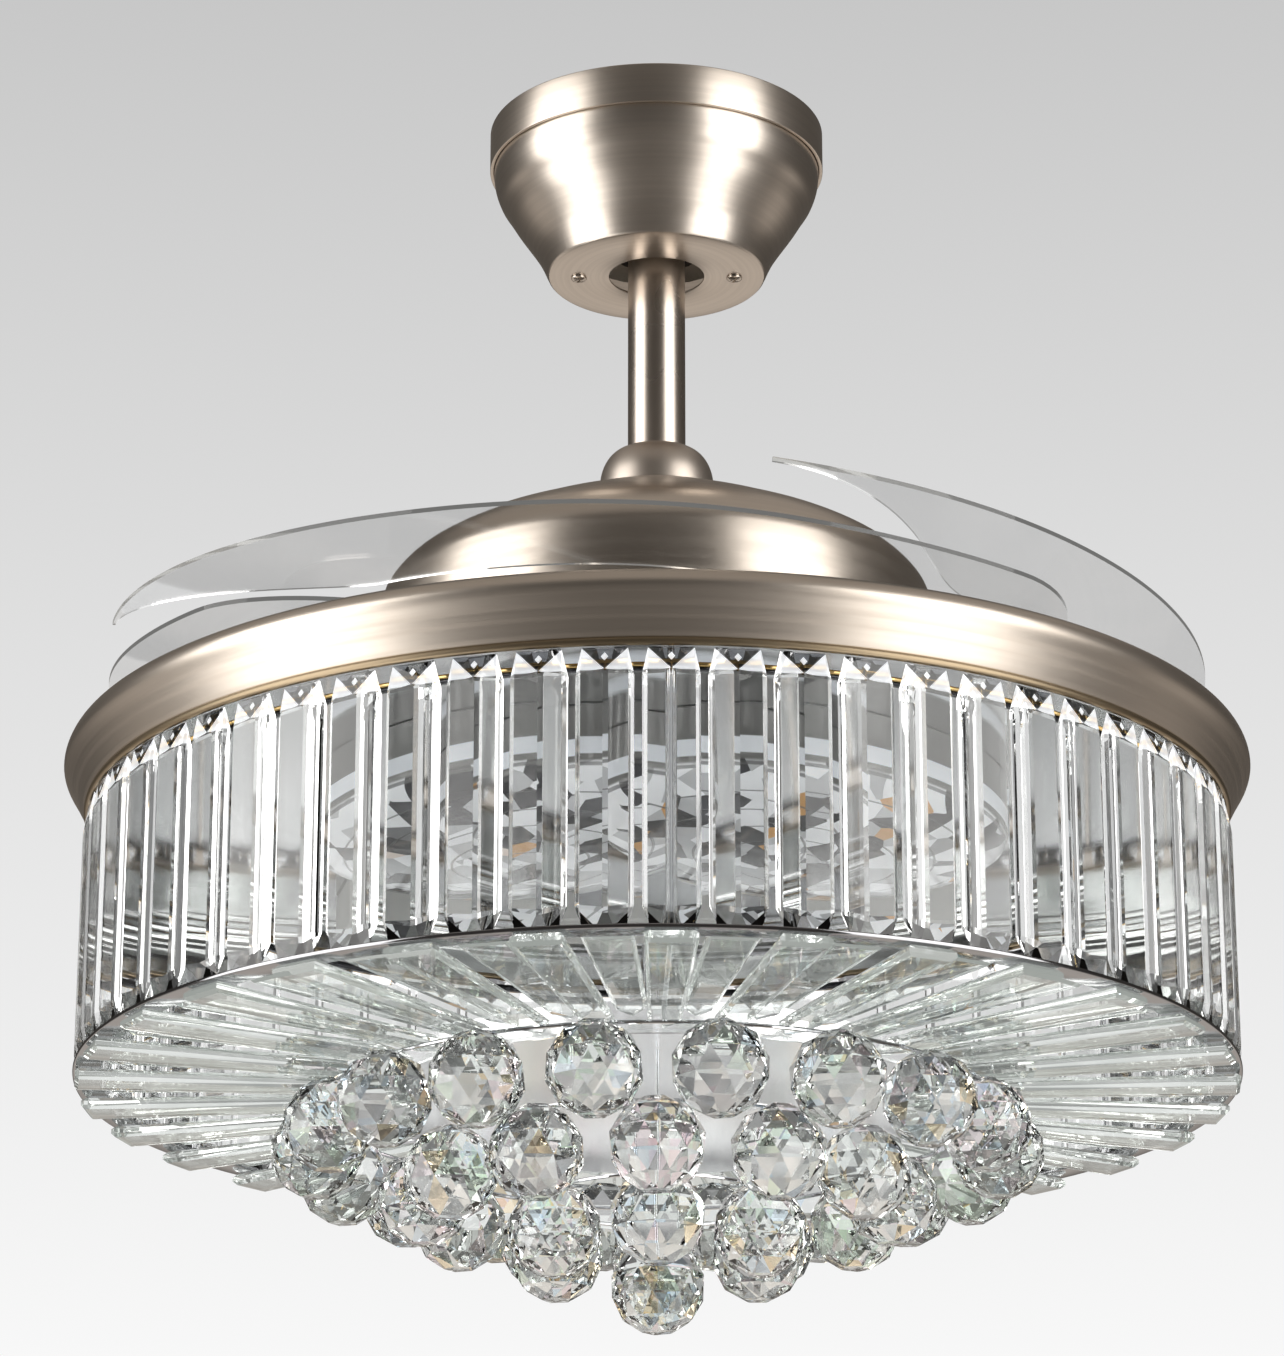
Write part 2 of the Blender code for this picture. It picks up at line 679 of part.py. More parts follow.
def make_ball_liner():
    inner = sphere_arc(LINER_INNER_RADIUS, -LINER_BOTTOM_CUT, -LINER_TOP_CUT, 2)
    outer = sphere_arc(LINER_OUTER_RADIUS, -LINER_BOTTOM_CUT, -LINER_TOP_CUT, 2)
    points = [(radius, BALL_CENTRE + height) for radius, height in [*reversed(outer), *inner]]
    return turned("ball_liner", points, SMALL_STEPS, NYLON)


# Pendant: everything that hangs on the ball and does not spin

def make_hanger_ball():
    bore = ROD_RADIUS + GAP
    arc = sphere_arc(BALL_RADIUS, -BALL_BOTTOM_CUT, BALL_TOP_CUT, 6)
    points = [(radius, BALL_CENTRE + height) for radius, height in reversed(arc)]
    points.append((bore, BALL_CENTRE - BALL_BOTTOM_CUT))
    points.append((bore, BALL_CENTRE + BALL_TOP_CUT))
    return turned("hanger_ball", points, SMALL_STEPS, BLACK_PLASTIC)


def pin_level():
    return BALL_CENTRE + BALL_TOP_CUT + GAP + HANGER_PIN_RADIUS


def make_hanger_pin():
    half = HANGER_PIN_LENGTH / 2

    def fill(shape):
        add_rod(shape, (-half, 0, pin_level()), (half, 0, pin_level()), HANGER_PIN_RADIUS, 10)

    return bodies_object("hanger_pin", fill, ZINC)


def make_down_rod():
    rod = turned(
        "down_rod", ring_points(ROD_RADIUS - ROD_WALL, ROD_RADIUS, -ROD_BOTTOM_DROP, ROD_TOP),
        SMALL_STEPS, NICKEL)

    def fill(shape):
        reach = ROD_RADIUS + OVERRUN
        add_rod(shape, (-reach, 0, pin_level()), (reach, 0, pin_level()),
                HANGER_PIN_RADIUS + GAP, 8)
        add_rod(shape, (0, -reach, -COUPLER_BOLT_DROP), (0, reach, -COUPLER_BOLT_DROP),
                BOLT_RADIUS + GAP, 8)

    return boolean(rod, bodies_object("rod_hole_guide", fill, None), "DIFFERENCE")


def make_coupling_cover():
    top = -COVER_TOP_DROP
    spread = COVER_BASE_RADIUS - COVER_TOP_RADIUS
    fall = COVER_HEIGHT - COVER_LIP
    points = [(ROD_RADIUS + GAP, top)]
    for step in range(COVER_ARCS + 1):
        angle = math.pi / 2 * step / COVER_ARCS
        points.append((COVER_TOP_RADIUS + spread * math.sin(angle),
                       top - fall * (1 - math.cos(angle))))
    points.append((COVER_BASE_RADIUS, top - COVER_HEIGHT))
    return turned("coupling_cover", points, MOTOR_STEPS, NICKEL, wall=COVER_SHEET)


def make_coupler():
    bottom = -COUPLER_BOTTOM_DROP
    shelf = -(ROD_BOTTOM_DROP + GAP)
    neck = COUPLER_TOP - COUPLER_NECK_HEIGHT
    upper_bore = ROD_RADIUS + GAP
    lower_bore = SHAFT_RADIUS + GAP
    points = [(COUPLER_NECK_RADIUS, COUPLER_TOP), (COUPLER_RADIUS, neck), (COUPLER_RADIUS, bottom),
              (lower_bore, bottom), (lower_bore, shelf), (upper_bore, shelf),
              (upper_bore, COUPLER_TOP)]
    coupler = turned("rod_coupler", points, SMALL_STEPS, ALUMINIUM)

    def fill(shape):
        reach = COUPLER_RADIUS + OVERRUN
        add_rod(shape, (0, -reach, -COUPLER_BOLT_DROP), (0, reach, -COUPLER_BOLT_DROP),
                BOLT_RADIUS + GAP, 8)

    return boolean(coupler, bodies_object("coupler_hole_guide", fill, None), "DIFFERENCE")


def make_coupler_bolt():
    head = COUPLER_RADIUS + GAP
    tip = -head - BOLT_HEAD_HEIGHT
    points = [(0, head + BOLT_HEAD_HEIGHT), (BOLT_HEAD_RADIUS, head + BOLT_HEAD_HEIGHT),
              (BOLT_HEAD_RADIUS, head), (BOLT_RADIUS, head), (BOLT_RADIUS, tip), (0, tip)]
    bolt = turned("coupler_bolt", points, 8, ZINC)
    nut_outline = circle(NUT_WIDTH / 2, 6)
    bore = circle(BOLT_RADIUS + GAP, 8)
    nut = flat_solid("coupler_nut", [nut_outline, bore], tip, BOLT_HEAD_HEIGHT, ZINC)
    for piece in (bolt, nut):
        piece.matrix_world = (Matrix.Translation((0, 0, -COUPLER_BOLT_DROP))
                              @ Matrix.Rotation(math.pi / 2, 4, "X") @ piece.matrix_world)
    return [bolt, nut]


def make_shaft():
    flange_bottom = TRAY_TOP + GAP
    flange_top = flange_bottom + SHAFT_FLANGE_THICK
    bottom = TRAY_UNDERSIDE - SHAFT_TAIL
    points = [(SHAFT_RADIUS, SHAFT_TOP), (SHAFT_RADIUS, flange_top),
              (SHAFT_FLANGE_RADIUS, flange_top), (SHAFT_FLANGE_RADIUS, flange_bottom),
              (SHAFT_RADIUS, flange_bottom), (SHAFT_RADIUS, bottom),
              (SHAFT_BORE_RADIUS, bottom), (SHAFT_BORE_RADIUS, SHAFT_TOP)]
    shaft = turned("motor_shaft", points, HIDDEN_STEPS, ZINC)
    outline = circle(SHAFT_NUT_WIDTH / 2, 6)
    bore = circle(SHAFT_RADIUS + GAP, HIDDEN_STEPS)
    nut = flat_solid("shaft_nut", [outline, bore], LIGHT_TOP - SHAFT_NUT_HEIGHT,
                     SHAFT_NUT_HEIGHT, ZINC)
    return [shaft, nut]


def make_stator():
    half = CORE_HEIGHT / 2
    middle = -MOTOR_MIDDLE_DROP
    core = turned("stator_core", ring_points(SHAFT_RADIUS + GAP, CORE_RADIUS, middle - half, middle + half),
                  SMALL_STEPS, CORE_STEEL)
    pieces = [core]
    for name, side in (("stator_winding_upper", 1), ("stator_winding_lower", -1)):
        near = middle + side * (half + GAP)
        far = near + side * WINDING_HEIGHT
        high = max(near, far)
        low = min(near, far)
        points = [(WINDING_OUTER_RADIUS - WINDING_ROUND, high),
                  (WINDING_OUTER_RADIUS, high - WINDING_ROUND),
                  (WINDING_OUTER_RADIUS, low + WINDING_ROUND),
                  (WINDING_OUTER_RADIUS - WINDING_ROUND, low),
                  (WINDING_INNER_RADIUS, low), (WINDING_INNER_RADIUS, high)]
        pieces.append(turned(name, points, SMALL_STEPS, COPPER))
    return pieces


def make_lamp_tray():
    top = TRAY_TOP
    points = [(SHAFT_RADIUS + GAP, top), (TRAY_LIP_RADIUS, top)]
    for radius_share, drop_share in TRAY_SHOULDER_SHARES:
        points.append((TRAY_LIP_RADIUS + (TRAY_RADIUS - TRAY_LIP_RADIUS) * radius_share,
                       top - (TRAY_WIDEST_DROP - TRAY_TOP_DROP) * drop_share))
    points.append((TRAY_RADIUS, -TRAY_WIDEST_DROP))
    points.append((TRAY_BOTTOM_RADIUS, -TRAY_BOTTOM_DROP))
    return turned("lamp_tray", points, TRAY_STEPS, NICKEL, wall=TRAY_SHEET)


def make_light_unit():
    sink_bottom = LIGHT_TOP - SINK_HEIGHT
    sink = turned("led_heat_sink", ring_points(SINK_INNER_RADIUS, SINK_RADIUS, sink_bottom, LIGHT_TOP),
                  SMALL_STEPS, ALUMINIUM)
    board_top = sink_bottom - GAP
    board = turned("led_board",
                   ring_points(SINK_INNER_RADIUS, BOARD_RADIUS, board_top - BOARD_THICK, board_top),
                   SMALL_STEPS, WHITE_PLASTIC)
    points = [(DIFFUSER_RADIUS * radius_share, LIGHT_TOP - DIFFUSER_DEPTH * drop_share)
              for radius_share, drop_share in DIFFUSER_SHARES]
    points.append((0, LIGHT_TOP - DIFFUSER_DEPTH))
    diffuser = turned("led_diffuser", points, MOTOR_STEPS, MILKY,
                      wall=DIFFUSER_SHEET)
    driver = rounded_box("led_driver", (0, DRIVER_PLACE, LIGHT_TOP - DRIVER_HEIGHT / 2),
                         (DRIVER_LENGTH, DRIVER_WIDTH, DRIVER_HEIGHT), WHITE_PLASTIC)
    return [sink, board, diffuser, driver]


# Crystal shade

def leg_angles():
    return [PRISM_FIRST_ANGLE + TURN * leg / FRAME_LEGS for leg in range(FRAME_LEGS)]


def make_crystal_frame():
    ring_top = PRISM_WIRE_LEVEL + FRAME_RING_THICK / 2
    inner = FRAME_RING_OUTER_RADIUS - FRAME_RING_WIDTH
    frame = turned(
        "crystal_frame",
        ring_points(inner, FRAME_RING_OUTER_RADIUS, ring_top - FRAME_RING_THICK, ring_top),
        RING_STEPS, BRASS)
    rim = BALL_PLATE_RIM_RADIUS + GAP

    def fill_legs(shape):
        for angle in leg_angles():
            add_rod(shape, polar(LEG_CIRCLE_RADIUS, angle, LIGHT_TOP),
                    polar(LEG_CIRCLE_RADIUS, angle, BASE_RING_TOP + GAP), FRAME_WIRE_RADIUS, 6)

    def fill_spokes(shape):
        for angle in leg_angles():
            add_rod(shape, polar(rim, angle, -SPOKE_DROP),
                    polar(LEG_CIRCLE_RADIUS, angle, -SPOKE_DROP), SPOKE_RADIUS, 4)

    boolean(frame, bodies_object("leg_wire_guide", fill_legs, None), "UNION")
    boolean(frame, bodies_object("spoke_wire_guide", fill_spokes, None), "UNION")
    return frame


def prism_outline(angle):
    half = PRISM_WIDTH / 2
    face = PRISM_FACE_WIDTH / 2
    depth = PRISM_DEPTH / 2
    corners = [(depth, -face), (depth, face), (0, half), (-depth, face), (-depth, -face), (0, -half)]
    out = polar(1, angle)
    side = Vector((-out.y, out.x, 0))
    centre = out * PRISM_CENTRE_RADIUS
    points = [centre + out * along + side * across for along, across in corners]
    return [(point.x, point.y) for point in points]


def make_prism_curtain():
    outlines = [prism_outline(PRISM_FIRST_ANGLE + TURN * number / PRISM_COUNT)
                for number in range(PRISM_COUNT)]
    curtain = flat_solid("prism_curtain", outlines, -PRISM_BOTTOM_DROP,
                         PRISM_BOTTOM_DROP - PRISM_TOP_DROP, CRYSTAL)
    wire = turned(
        "curtain_wire_guide",
        ring_points(CURTAIN_WIRE_RADIUS - WIRE_HALF, CURTAIN_WIRE_RADIUS + WIRE_HALF,
                    PRISM_WIRE_LEVEL - WIRE_HALF, PRISM_WIRE_LEVEL + WIRE_HALF),
        PRISM_COUNT, None)
    wire.rotation_euler.z = PRISM_FIRST_ANGLE
    boolean(curtain, wire, "UNION")
    return curtain


def make_base_ring():
    return turned("base_ring",
                  ring_points(BASE_RING_INNER_RADIUS, BASE_RING_OUTER_RADIUS,
                              BASE_RING_BOTTOM, BASE_RING_TOP), RING_STEPS, CHROME)


def bar_layer(name, outer_radius, bottom, first_angle):
    """Radial bars that widen outwards, joined at their inner ends by a thin rim."""
    rim_outer = BAR_INNER_RADIUS + BAR_RIM
    half = BAR_ROOT_WIDTH / 2
    end_half = BAR_END_WIDTH / 2
    outline = []
    for number in range(BAR_COUNT):
        angle = first_angle + TURN * number / BAR_COUNT
        out = polar(1, angle)
        side = Vector((-out.y, out.x, 0))
        root = math.sqrt(rim_outer ** 2 - half ** 2)
        tip = math.sqrt(outer_radius ** 2 - end_half ** 2)
        for along, across in ((root, -half), (tip, -end_half), (tip, end_half), (root, half)):
            point = out * along + side * across
            outline.append((point.x, point.y))
    bore = circle(BAR_INNER_RADIUS, BAR_COUNT, phase=first_angle)
    return flat_solid(name, [outline, bore], bottom, BAR_THICK, CRYSTAL)


def make_floor_bars():
    step = TURN / PRISM_COUNT
    upper = bar_layer("upper_floor_bars", BASE_RING_INNER_RADIUS - BAR_END_GAP, UPPER_BAR_BOTTOM,
                      PRISM_FIRST_ANGLE + step)
    lower = bar_layer("lower_floor_bars", PRISM_FACE_RADIUS, LOWER_BAR_BOTTOM,
                      PRISM_FIRST_ANGLE)
    return [upper, lower]


def make_ball_plate():
    rim_inner = BALL_PLATE_RIM_RADIUS - BALL_PLATE_RIM_WALL
    rim_top = BALL_PLATE_TOP + BALL_PLATE_RIM_RISE
    points = [(0, BALL_PLATE_TOP), (rim_inner, BALL_PLATE_TOP), (rim_inner, rim_top),
              (BALL_PLATE_RIM_RADIUS, rim_top), (BALL_PLATE_RIM_RADIUS, BALL_PLATE_TOP),
              (BALL_PLATE_RADIUS, BALL_PLATE_TOP), (BALL_PLATE_RADIUS, BALL_PLATE_BOTTOM),
              (0, BALL_PLATE_BOTTOM)]
    plate = turned("ball_plate", points, MOTOR_STEPS, CHROME)
    start = rim_inner
    end = TIER_RADII[0] + ARM_WIDTH / 2
    middle = (BALL_PLATE_TOP + BALL_PLATE_BOTTOM) / 2

    def fill(shape):
        for leg in range(FRAME_LEGS):
            angle = -math.pi / 2 + TURN * leg / FRAME_LEGS
            add_box(shape, polar((start + end) / 2, angle, middle),
                    (end - start, ARM_WIDTH, BALL_PLATE_THICK * 0.8), angle)

    return boolean(plate, bodies_object("arm_guide", fill, None), "UNION")


def add_crystal_ball(shape, centre, turn):
    bmesh.ops.create_uvsphere(
        shape, u_segments=BALL_SIDES, v_segments=BALL_RINGS, radius=CRYSTAL_BALL_RADIUS,
        matrix=Matrix.Translation(centre) @ Matrix.Rotation(turn, 4, "Z"))


def make_ball_tier(index):
    """One ring of balls, the wire they hang from and the pins up to the plate."""
    radius = TIER_RADII[index]
    count = TIER_COUNTS[index]
    level = -TIER_DROPS[index]
    first = TIER_OFFSETS[index]
    angles = [first + TURN * number / count for number in range(count)]
    wire_level = BALL_PLATE_BOTTOM - GAP - WIRE_HALF if index == 0 else level + TIER_RING_RISE

    def fill_balls(shape):
        for angle in angles:
            add_crystal_ball(shape, polar(radius, angle, level), angle)

    tier = bodies_object(f"ball_tier_{index + 1}", fill_balls, CRYSTAL)
    if radius:
        wire = turned(f"tier_wire_guide_{index + 1}",
                      ring_points(radius - WIRE_HALF, radius + WIRE_HALF,
                                  wire_level - WIRE_HALF, wire_level + WIRE_HALF),
                      count, None)
        wire.rotation_euler.z = first
        boolean(tier, wire, "UNION")
    if index:
        pin_count = TIER_PINS if radius else 1

        def fill_pins(shape):
            for pin in range(pin_count):
                angle = first + TURN * pin / pin_count
                add_rod(shape, polar(radius, angle, BALL_PLATE_BOTTOM - GAP),
                        polar(radius, angle, level + CRYSTAL_BALL_RADIUS / 2),
                        TIER_PIN_RADIUS, 6)

        boolean(tier, bodies_object(f"tier_pin_guide_{index + 1}", fill_pins, None), "UNION")
    return tier


# Rotor: the spinning motor casing, its cover and the blade carrier

def make_motor_cover():
    top = -DOME_TOP_DROP
    wall_top = -DOME_WALL_DROP
    points = [(DOME_HOLE_RADIUS, top), (DOME_LAND_RADIUS, top)]
    for radius_share, drop_share in DOME_SHARES:
        points.append((DOME_LAND_RADIUS + (DOME_RADIUS - DOME_LAND_RADIUS) * radius_share,
                       top + (wall_top - top) * drop_share))
    points.append((DOME_RADIUS, wall_top))
    points.append((DOME_RADIUS, -DOME_EDGE_DROP))
    return turned("motor_cover", points, DOME_STEPS, NICKEL, wall=DOME_SHEET)


def make_rotor_can():
    top = -CAN_TOP_DROP
    bottom = -CAN_BOTTOM_DROP
    inner = CAN_RADIUS - CAN_WALL
    roof = top - CAN_WALL
    pocket = BEARING_RADIUS + GAP
    boss = pocket + BEARING_WALL
    shelf = top - BEARING_LIP_THICK
    boss_bottom = shelf - GAP - BEARING_HEIGHT
    lip = pocket - BEARING_LIP
    collar_top = -(DOME_TOP_DROP + DOME_SHEET + GAP)
    points = [(COLLAR_OUTER_RADIUS, collar_top), (COLLAR_OUTER_RADIUS, top),
              (CAN_RADIUS - CAN_CHAMFER, top), (CAN_RADIUS, top - CAN_CHAMFER),
              (CAN_RADIUS, bottom), (inner, bottom), (inner, roof), (boss, roof),
              (boss, boss_bottom), (pocket, boss_bottom), (pocket, shelf), (lip, shelf),
              (lip, top), (COLLAR_INNER_RADIUS, top), (COLLAR_INNER_RADIUS, collar_top)]
    can = turned("rotor_can", points, MOTOR_STEPS, ALUMINIUM)
    bearing_top = shelf - GAP
    upper = turned("bearing_upper",
                   ring_points(SHAFT_RADIUS + GAP, BEARING_RADIUS, bearing_top - BEARING_HEIGHT,
                               bearing_top), HIDDEN_STEPS, CHROME)
    return [can, upper]


def make_end_cap():
    top = -(CAN_BOTTOM_DROP + GAP)
    bottom = END_CAP_BOTTOM
    pocket = BEARING_RADIUS + GAP
    boss = pocket + BEARING_WALL
    lip = pocket - BEARING_LIP
    shelf = bottom + BEARING_LIP_THICK
    boss_top = shelf + GAP + BEARING_HEIGHT
    points = [(boss, boss_top), (boss, top), (CAN_RADIUS, top), (CAN_RADIUS, bottom),
              (lip, bottom), (lip, shelf), (pocket, shelf), (pocket, boss_top)]
    cap = turned("rotor_end_cap", points, MOTOR_STEPS, ALUMINIUM)
    lower = turned("bearing_lower",
                   ring_points(SHAFT_RADIUS + GAP, BEARING_RADIUS, shelf + GAP,
                               shelf + GAP + BEARING_HEIGHT), HIDDEN_STEPS, CHROME)
    return [cap, lower]


def make_magnet_ring():
    outer = CAN_RADIUS - CAN_WALL - GAP
    half = MAGNET_HEIGHT / 2
    middle = -MOTOR_MIDDLE_DROP
    return turned("magnet_ring", ring_points(outer - MAGNET_THICK, outer, middle - half, middle + half),
                  MOTOR_STEPS, MAGNET)


def pivot_angles():
    return [PIVOT_FIRST_ANGLE + TURN * number / BLADE_COUNT for number in range(BLADE_COUNT)]


def make_carrier():
    boss_bottom = GEAR_TOP - GEAR_THICK - GAP - RETAINER_THICK
    points = [(CARRIER_RADIUS, CARRIER_TOP), (CARRIER_RADIUS, CARRIER_BOTTOM),
              (CARRIER_BOSS_RADIUS, CARRIER_BOTTOM), (CARRIER_BOSS_RADIUS, boss_bottom),
              (CARRIER_BOSS_INNER_RADIUS, boss_bottom), (CARRIER_BOSS_INNER_RADIUS, CARRIER_TOP)]
    carrier = turned("blade_carrier", points, MOTOR_STEPS, ZINC)

    def fill(shape):
        for angle in pivot_angles():
            add_rod(shape, polar(PIVOT_RADIUS, angle, CARRIER_TOP + OVERRUN),
                    polar(PIVOT_RADIUS, angle, CARRIER_BOTTOM - OVERRUN),
                    PIN_RADIUS + GAP, 8)

    boolean(carrier, bodies_object("carrier_hole_guide", fill, None), "DIFFERENCE")
    bore = CARRIER_BOSS_RADIUS + GAP
    retainer_bottom = boss_bottom
    retainer = turned("gear_retainer",
                      ring_points(bore, RETAINER_RADIUS, retainer_bottom,
                                  retainer_bottom + RETAINER_THICK), MOTOR_STEPS, ZINC)
    return [carrier, retainer]


def make_pivot_pin(number, angle):
    head_bottom = CARRIER_TOP + GAP
    head_top = head_bottom + PIN_HEAD_HEIGHT
    foot_top = BLADE_ROOT_LEVEL - BLADE_THICK / 2 - GAP
    foot_bottom = foot_top - PIN_HEAD_HEIGHT
    points = [(0, head_top), (PIN_HEAD_RADIUS, head_top), (PIN_HEAD_RADIUS, head_bottom),
              (PIN_RADIUS, head_bottom), (PIN_RADIUS, foot_top), (PIN_HEAD_RADIUS, foot_top),
              (PIN_HEAD_RADIUS, foot_bottom), (0, foot_bottom)]
    pin = turned(f"pivot_pin_{number}", points, 8, ZINC)
    pin.location = polar(PIVOT_RADIUS, angle)
    return pin


def spring_points():
    """The spring's centre line, running down from the carrier."""
    start = CARRIER_BOTTOM - GAP - SPRING_WIRE_RADIUS
    return [polar(SPRING_RADIUS, TURN * step / SPRING_POINTS,
                  start - SPRING_PITCH * step / SPRING_POINTS)
            for step in range(SPRING_TURNS * SPRING_POINTS + 1)]


def spring_gap():
    """Least clear space between two turns of the spring."""
    points = spring_points()
    apart = [(high - low).length for step, high in enumerate(points)
             for low in points[step + SPRING_POINTS // 2:]]
    return min(apart) - 2 * SPRING_WIRE_RADIUS


def make_return_spring(number, angle):
    """A torsion spring round the pivot pin, between the carrier and the hub gear."""
    curve = bpy.data.curves.new(f"return_spring_{number}", "CURVE")
    curve.dimensions = "3D"
    curve.bevel_depth = SPRING_WIRE_RADIUS
    curve.bevel_resolution = 0
    curve.use_fill_caps = True
    places = spring_points()
    spline = curve.splines.new("POLY")
    spline.points.add(len(places) - 1)
    for point, place in zip(spline.points, places):
        point.co = (*place, 1)
    spring = add_object(f"return_spring_{number}", curve, ZINC)
    spring.location = polar(PIVOT_RADIUS, angle)
    return spring


# Gears and blades

def gear_outline(teeth, phase, used):
    """Straight-sided teeth on the pitch circle; unused ones are left as plain arc."""
    pitch_radius = GEAR_MODULE * teeth / 2
    tip = pitch_radius + ADDENDUM_SHARE * GEAR_MODULE
    root = pitch_radius - DEDENDUM_SHARE * GEAR_MODULE
    pitch_angle = TURN / teeth
    points = []
    for tooth in range(teeth):
        centre = phase + pitch_angle * tooth
        low = pitch_angle * TOOTH_ROOT_SHARE / 2
        high = pitch_angle * TOOTH_TIP_SHARE / 2
        points.append((root * math.cos(centre - low), root * math.sin(centre - low)))
        if tooth in used:
            points.append((tip * math.cos(centre - high), tip * math.sin(centre - high)))
            points.append((tip * math.cos(centre + high), tip * math.sin(centre + high)))
        points.append((root * math.cos(centre + low), root * math.sin(centre + low)))
    return points


def make_sync_gear():
    per_blade = RING_TEETH // BLADE_COUNT
    used = [tooth for tooth in range(RING_TEETH)
            if (tooth + RING_MARGIN) % per_blade < RING_TEETH_USED]
    outline = gear_outline(RING_TEETH, PIVOT_FIRST_ANGLE, used)
    bore = circle(CARRIER_BOSS_RADIUS + GEAR_BORE_GAP, MOTOR_STEPS)
    return flat_solid("sync_gear", [outline, bore], GEAR_TOP - GEAR_THICK, GEAR_THICK, NYLON)


def make_blade_hub(number, angle):
    half_pitch = TURN / HUB_TEETH / 2
    used = [-tooth % HUB_TEETH for tooth in range(HUB_TEETH_USED)]
    outline = gear_outline(HUB_TEETH, angle + math.pi + half_pitch, used)
    bore = circle(PIN_RADIUS + PIN_BORE_GAP, 8)
    hub = flat_solid(f"blade_hub_{number}", [outline, bore], HUB_BOTTOM, HUB_HEIGHT, BLACK_PLASTIC)
    hub.location += polar(PIVOT_RADIUS, angle)
    return hub


def blade_edges(turn):
    """Inner and outer radius of a folded blade at an angle past its pivot."""
    root = PIVOT_RADIUS
    outer_root = root + BLADE_ROOT_HALF_WIDTH
    inner_root = root - BLADE_ROOT_HALF_WIDTH
    outer = outer_root + (BLADE_OUTER_RADIUS - outer_root) * smooth(turn / BLADE_OUTER_REACHED_BY)
    inner = inner_root + (BLADE_INNER_RADIUS - inner_root) * smooth(turn / BLADE_INNER_REACHED_BY)
    taper = smooth((BLADE_WRAP - turn) / BLADE_TIP_TAPER)
    width = BLADE_TIP_WIDTH + (outer - inner - BLADE_TIP_WIDTH) * taper
    return outer - width, outer


def blade_point(along, across, angle):
    """A point of the blade's middle surface; along and across run from 0 to 1."""
    turn = -BLADE_BACK + (BLADE_WRAP + BLADE_BACK) * along
    inner, outer = blade_edges(turn)
    radius = inner + (outer - inner) * across
    climb = max(turn - BLADE_LEVEL, 0) / (BLADE_WRAP - BLADE_LEVEL)
    pitch = BLADE_PITCH * smooth(turn / BLADE_PITCHED_BY)
    height = BLADE_ROOT_LEVEL + BLADE_RISE * climb + ((inner + outer) / 2 - radius) * math.tan(pitch)
    return polar(radius, angle - turn, height)


def make_blade(number, angle):
    mesh = bpy.data.meshes.new(f"blade_{number}")
    pivot = polar(PIVOT_RADIUS, angle)
    points = [blade_point(step / BLADE_STEPS, side, angle) - pivot
              for step in range(BLADE_STEPS + 1) for side in (0, 1)]
    faces = [(near, near + 2, near + 3, near + 1) for near in range(0, 2 * BLADE_STEPS, 2)]
    mesh.from_pydata(points, [], faces)
    blade = add_object(f"blade_{number}", mesh, CLEAR_ACRYLIC)
    blade.location = pivot
    sheet = blade.modifiers.new("Sheet", "SOLIDIFY")
    sheet.thickness = BLADE_THICK
    sheet.offset = 0
    sheet.use_even_offset = True

    def fill(hole):
        add_rod(hole, (0, 0, BLADE_ROOT_LEVEL - OVERRUN), (0, 0, BLADE_ROOT_LEVEL + OVERRUN),
                PIN_RADIUS + PIN_BORE_GAP, 8)

    cutter = bodies_object(f"blade_hole_guide_{number}", fill, None)
    cutter.location = pivot
    return boolean(blade, cutter, "DIFFERENCE")


def build():
    ball_pivot = empty_at("ball_pivot", (0, 0, BALL_CENTRE))
    spin_axis = empty_at("spin_axis", (0, 0, GEAR_TOP))
    gear_axis = empty_at("gear_axis", (0, 0, GEAR_TOP))
    make_bracket()
    make_canopy()
    make_canopy_screws()
    make_boxes()
    liner = make_ball_liner()
    pendant = [make_hanger_ball(), make_hanger_pin(), make_down_rod(), make_coupling_cover(),
               make_coupler(), *make_coupler_bolt(), *make_shaft(), *make_stator(),
               make_lamp_tray(), *make_light_unit(), make_crystal_frame(), make_prism_curtain(),
               make_base_ring(), *make_floor_bars(), make_ball_plate()]
    pendant += [make_ball_tier(index) for index in range(len(TIER_COUNTS))]
    rotor = [make_motor_cover(), *make_rotor_can(), *make_end_cap(), make_magnet_ring(),
             *make_carrier()]
    blades = []
    for number, angle in enumerate(pivot_angles(), start=1):
        rotor.append(make_pivot_pin(number, angle))
        rotor.append(make_return_spring(number, angle))
        pivot = empty_at(f"blade_pivot_{number}", polar(PIVOT_RADIUS, angle, GEAR_TOP))
        hang_on(pivot, make_blade_hub(number, angle), make_blade(number, angle))
        blades.append(pivot)
    hang_on(ball_pivot, liner, *pendant, spin_axis)
    hang_on(spin_axis, *rotor, *blades, gear_axis)
    hang_on(gear_axis, make_sync_gear())
    for made in FAN.objects:
        if made.type == "MESH" and not made.modifiers:
            shade(made)


build()
print(f"return spring: least gap between turns {spring_gap():.5f} m")
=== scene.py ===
import math

import bmesh
import bpy
from mathutils import Matrix, Vector


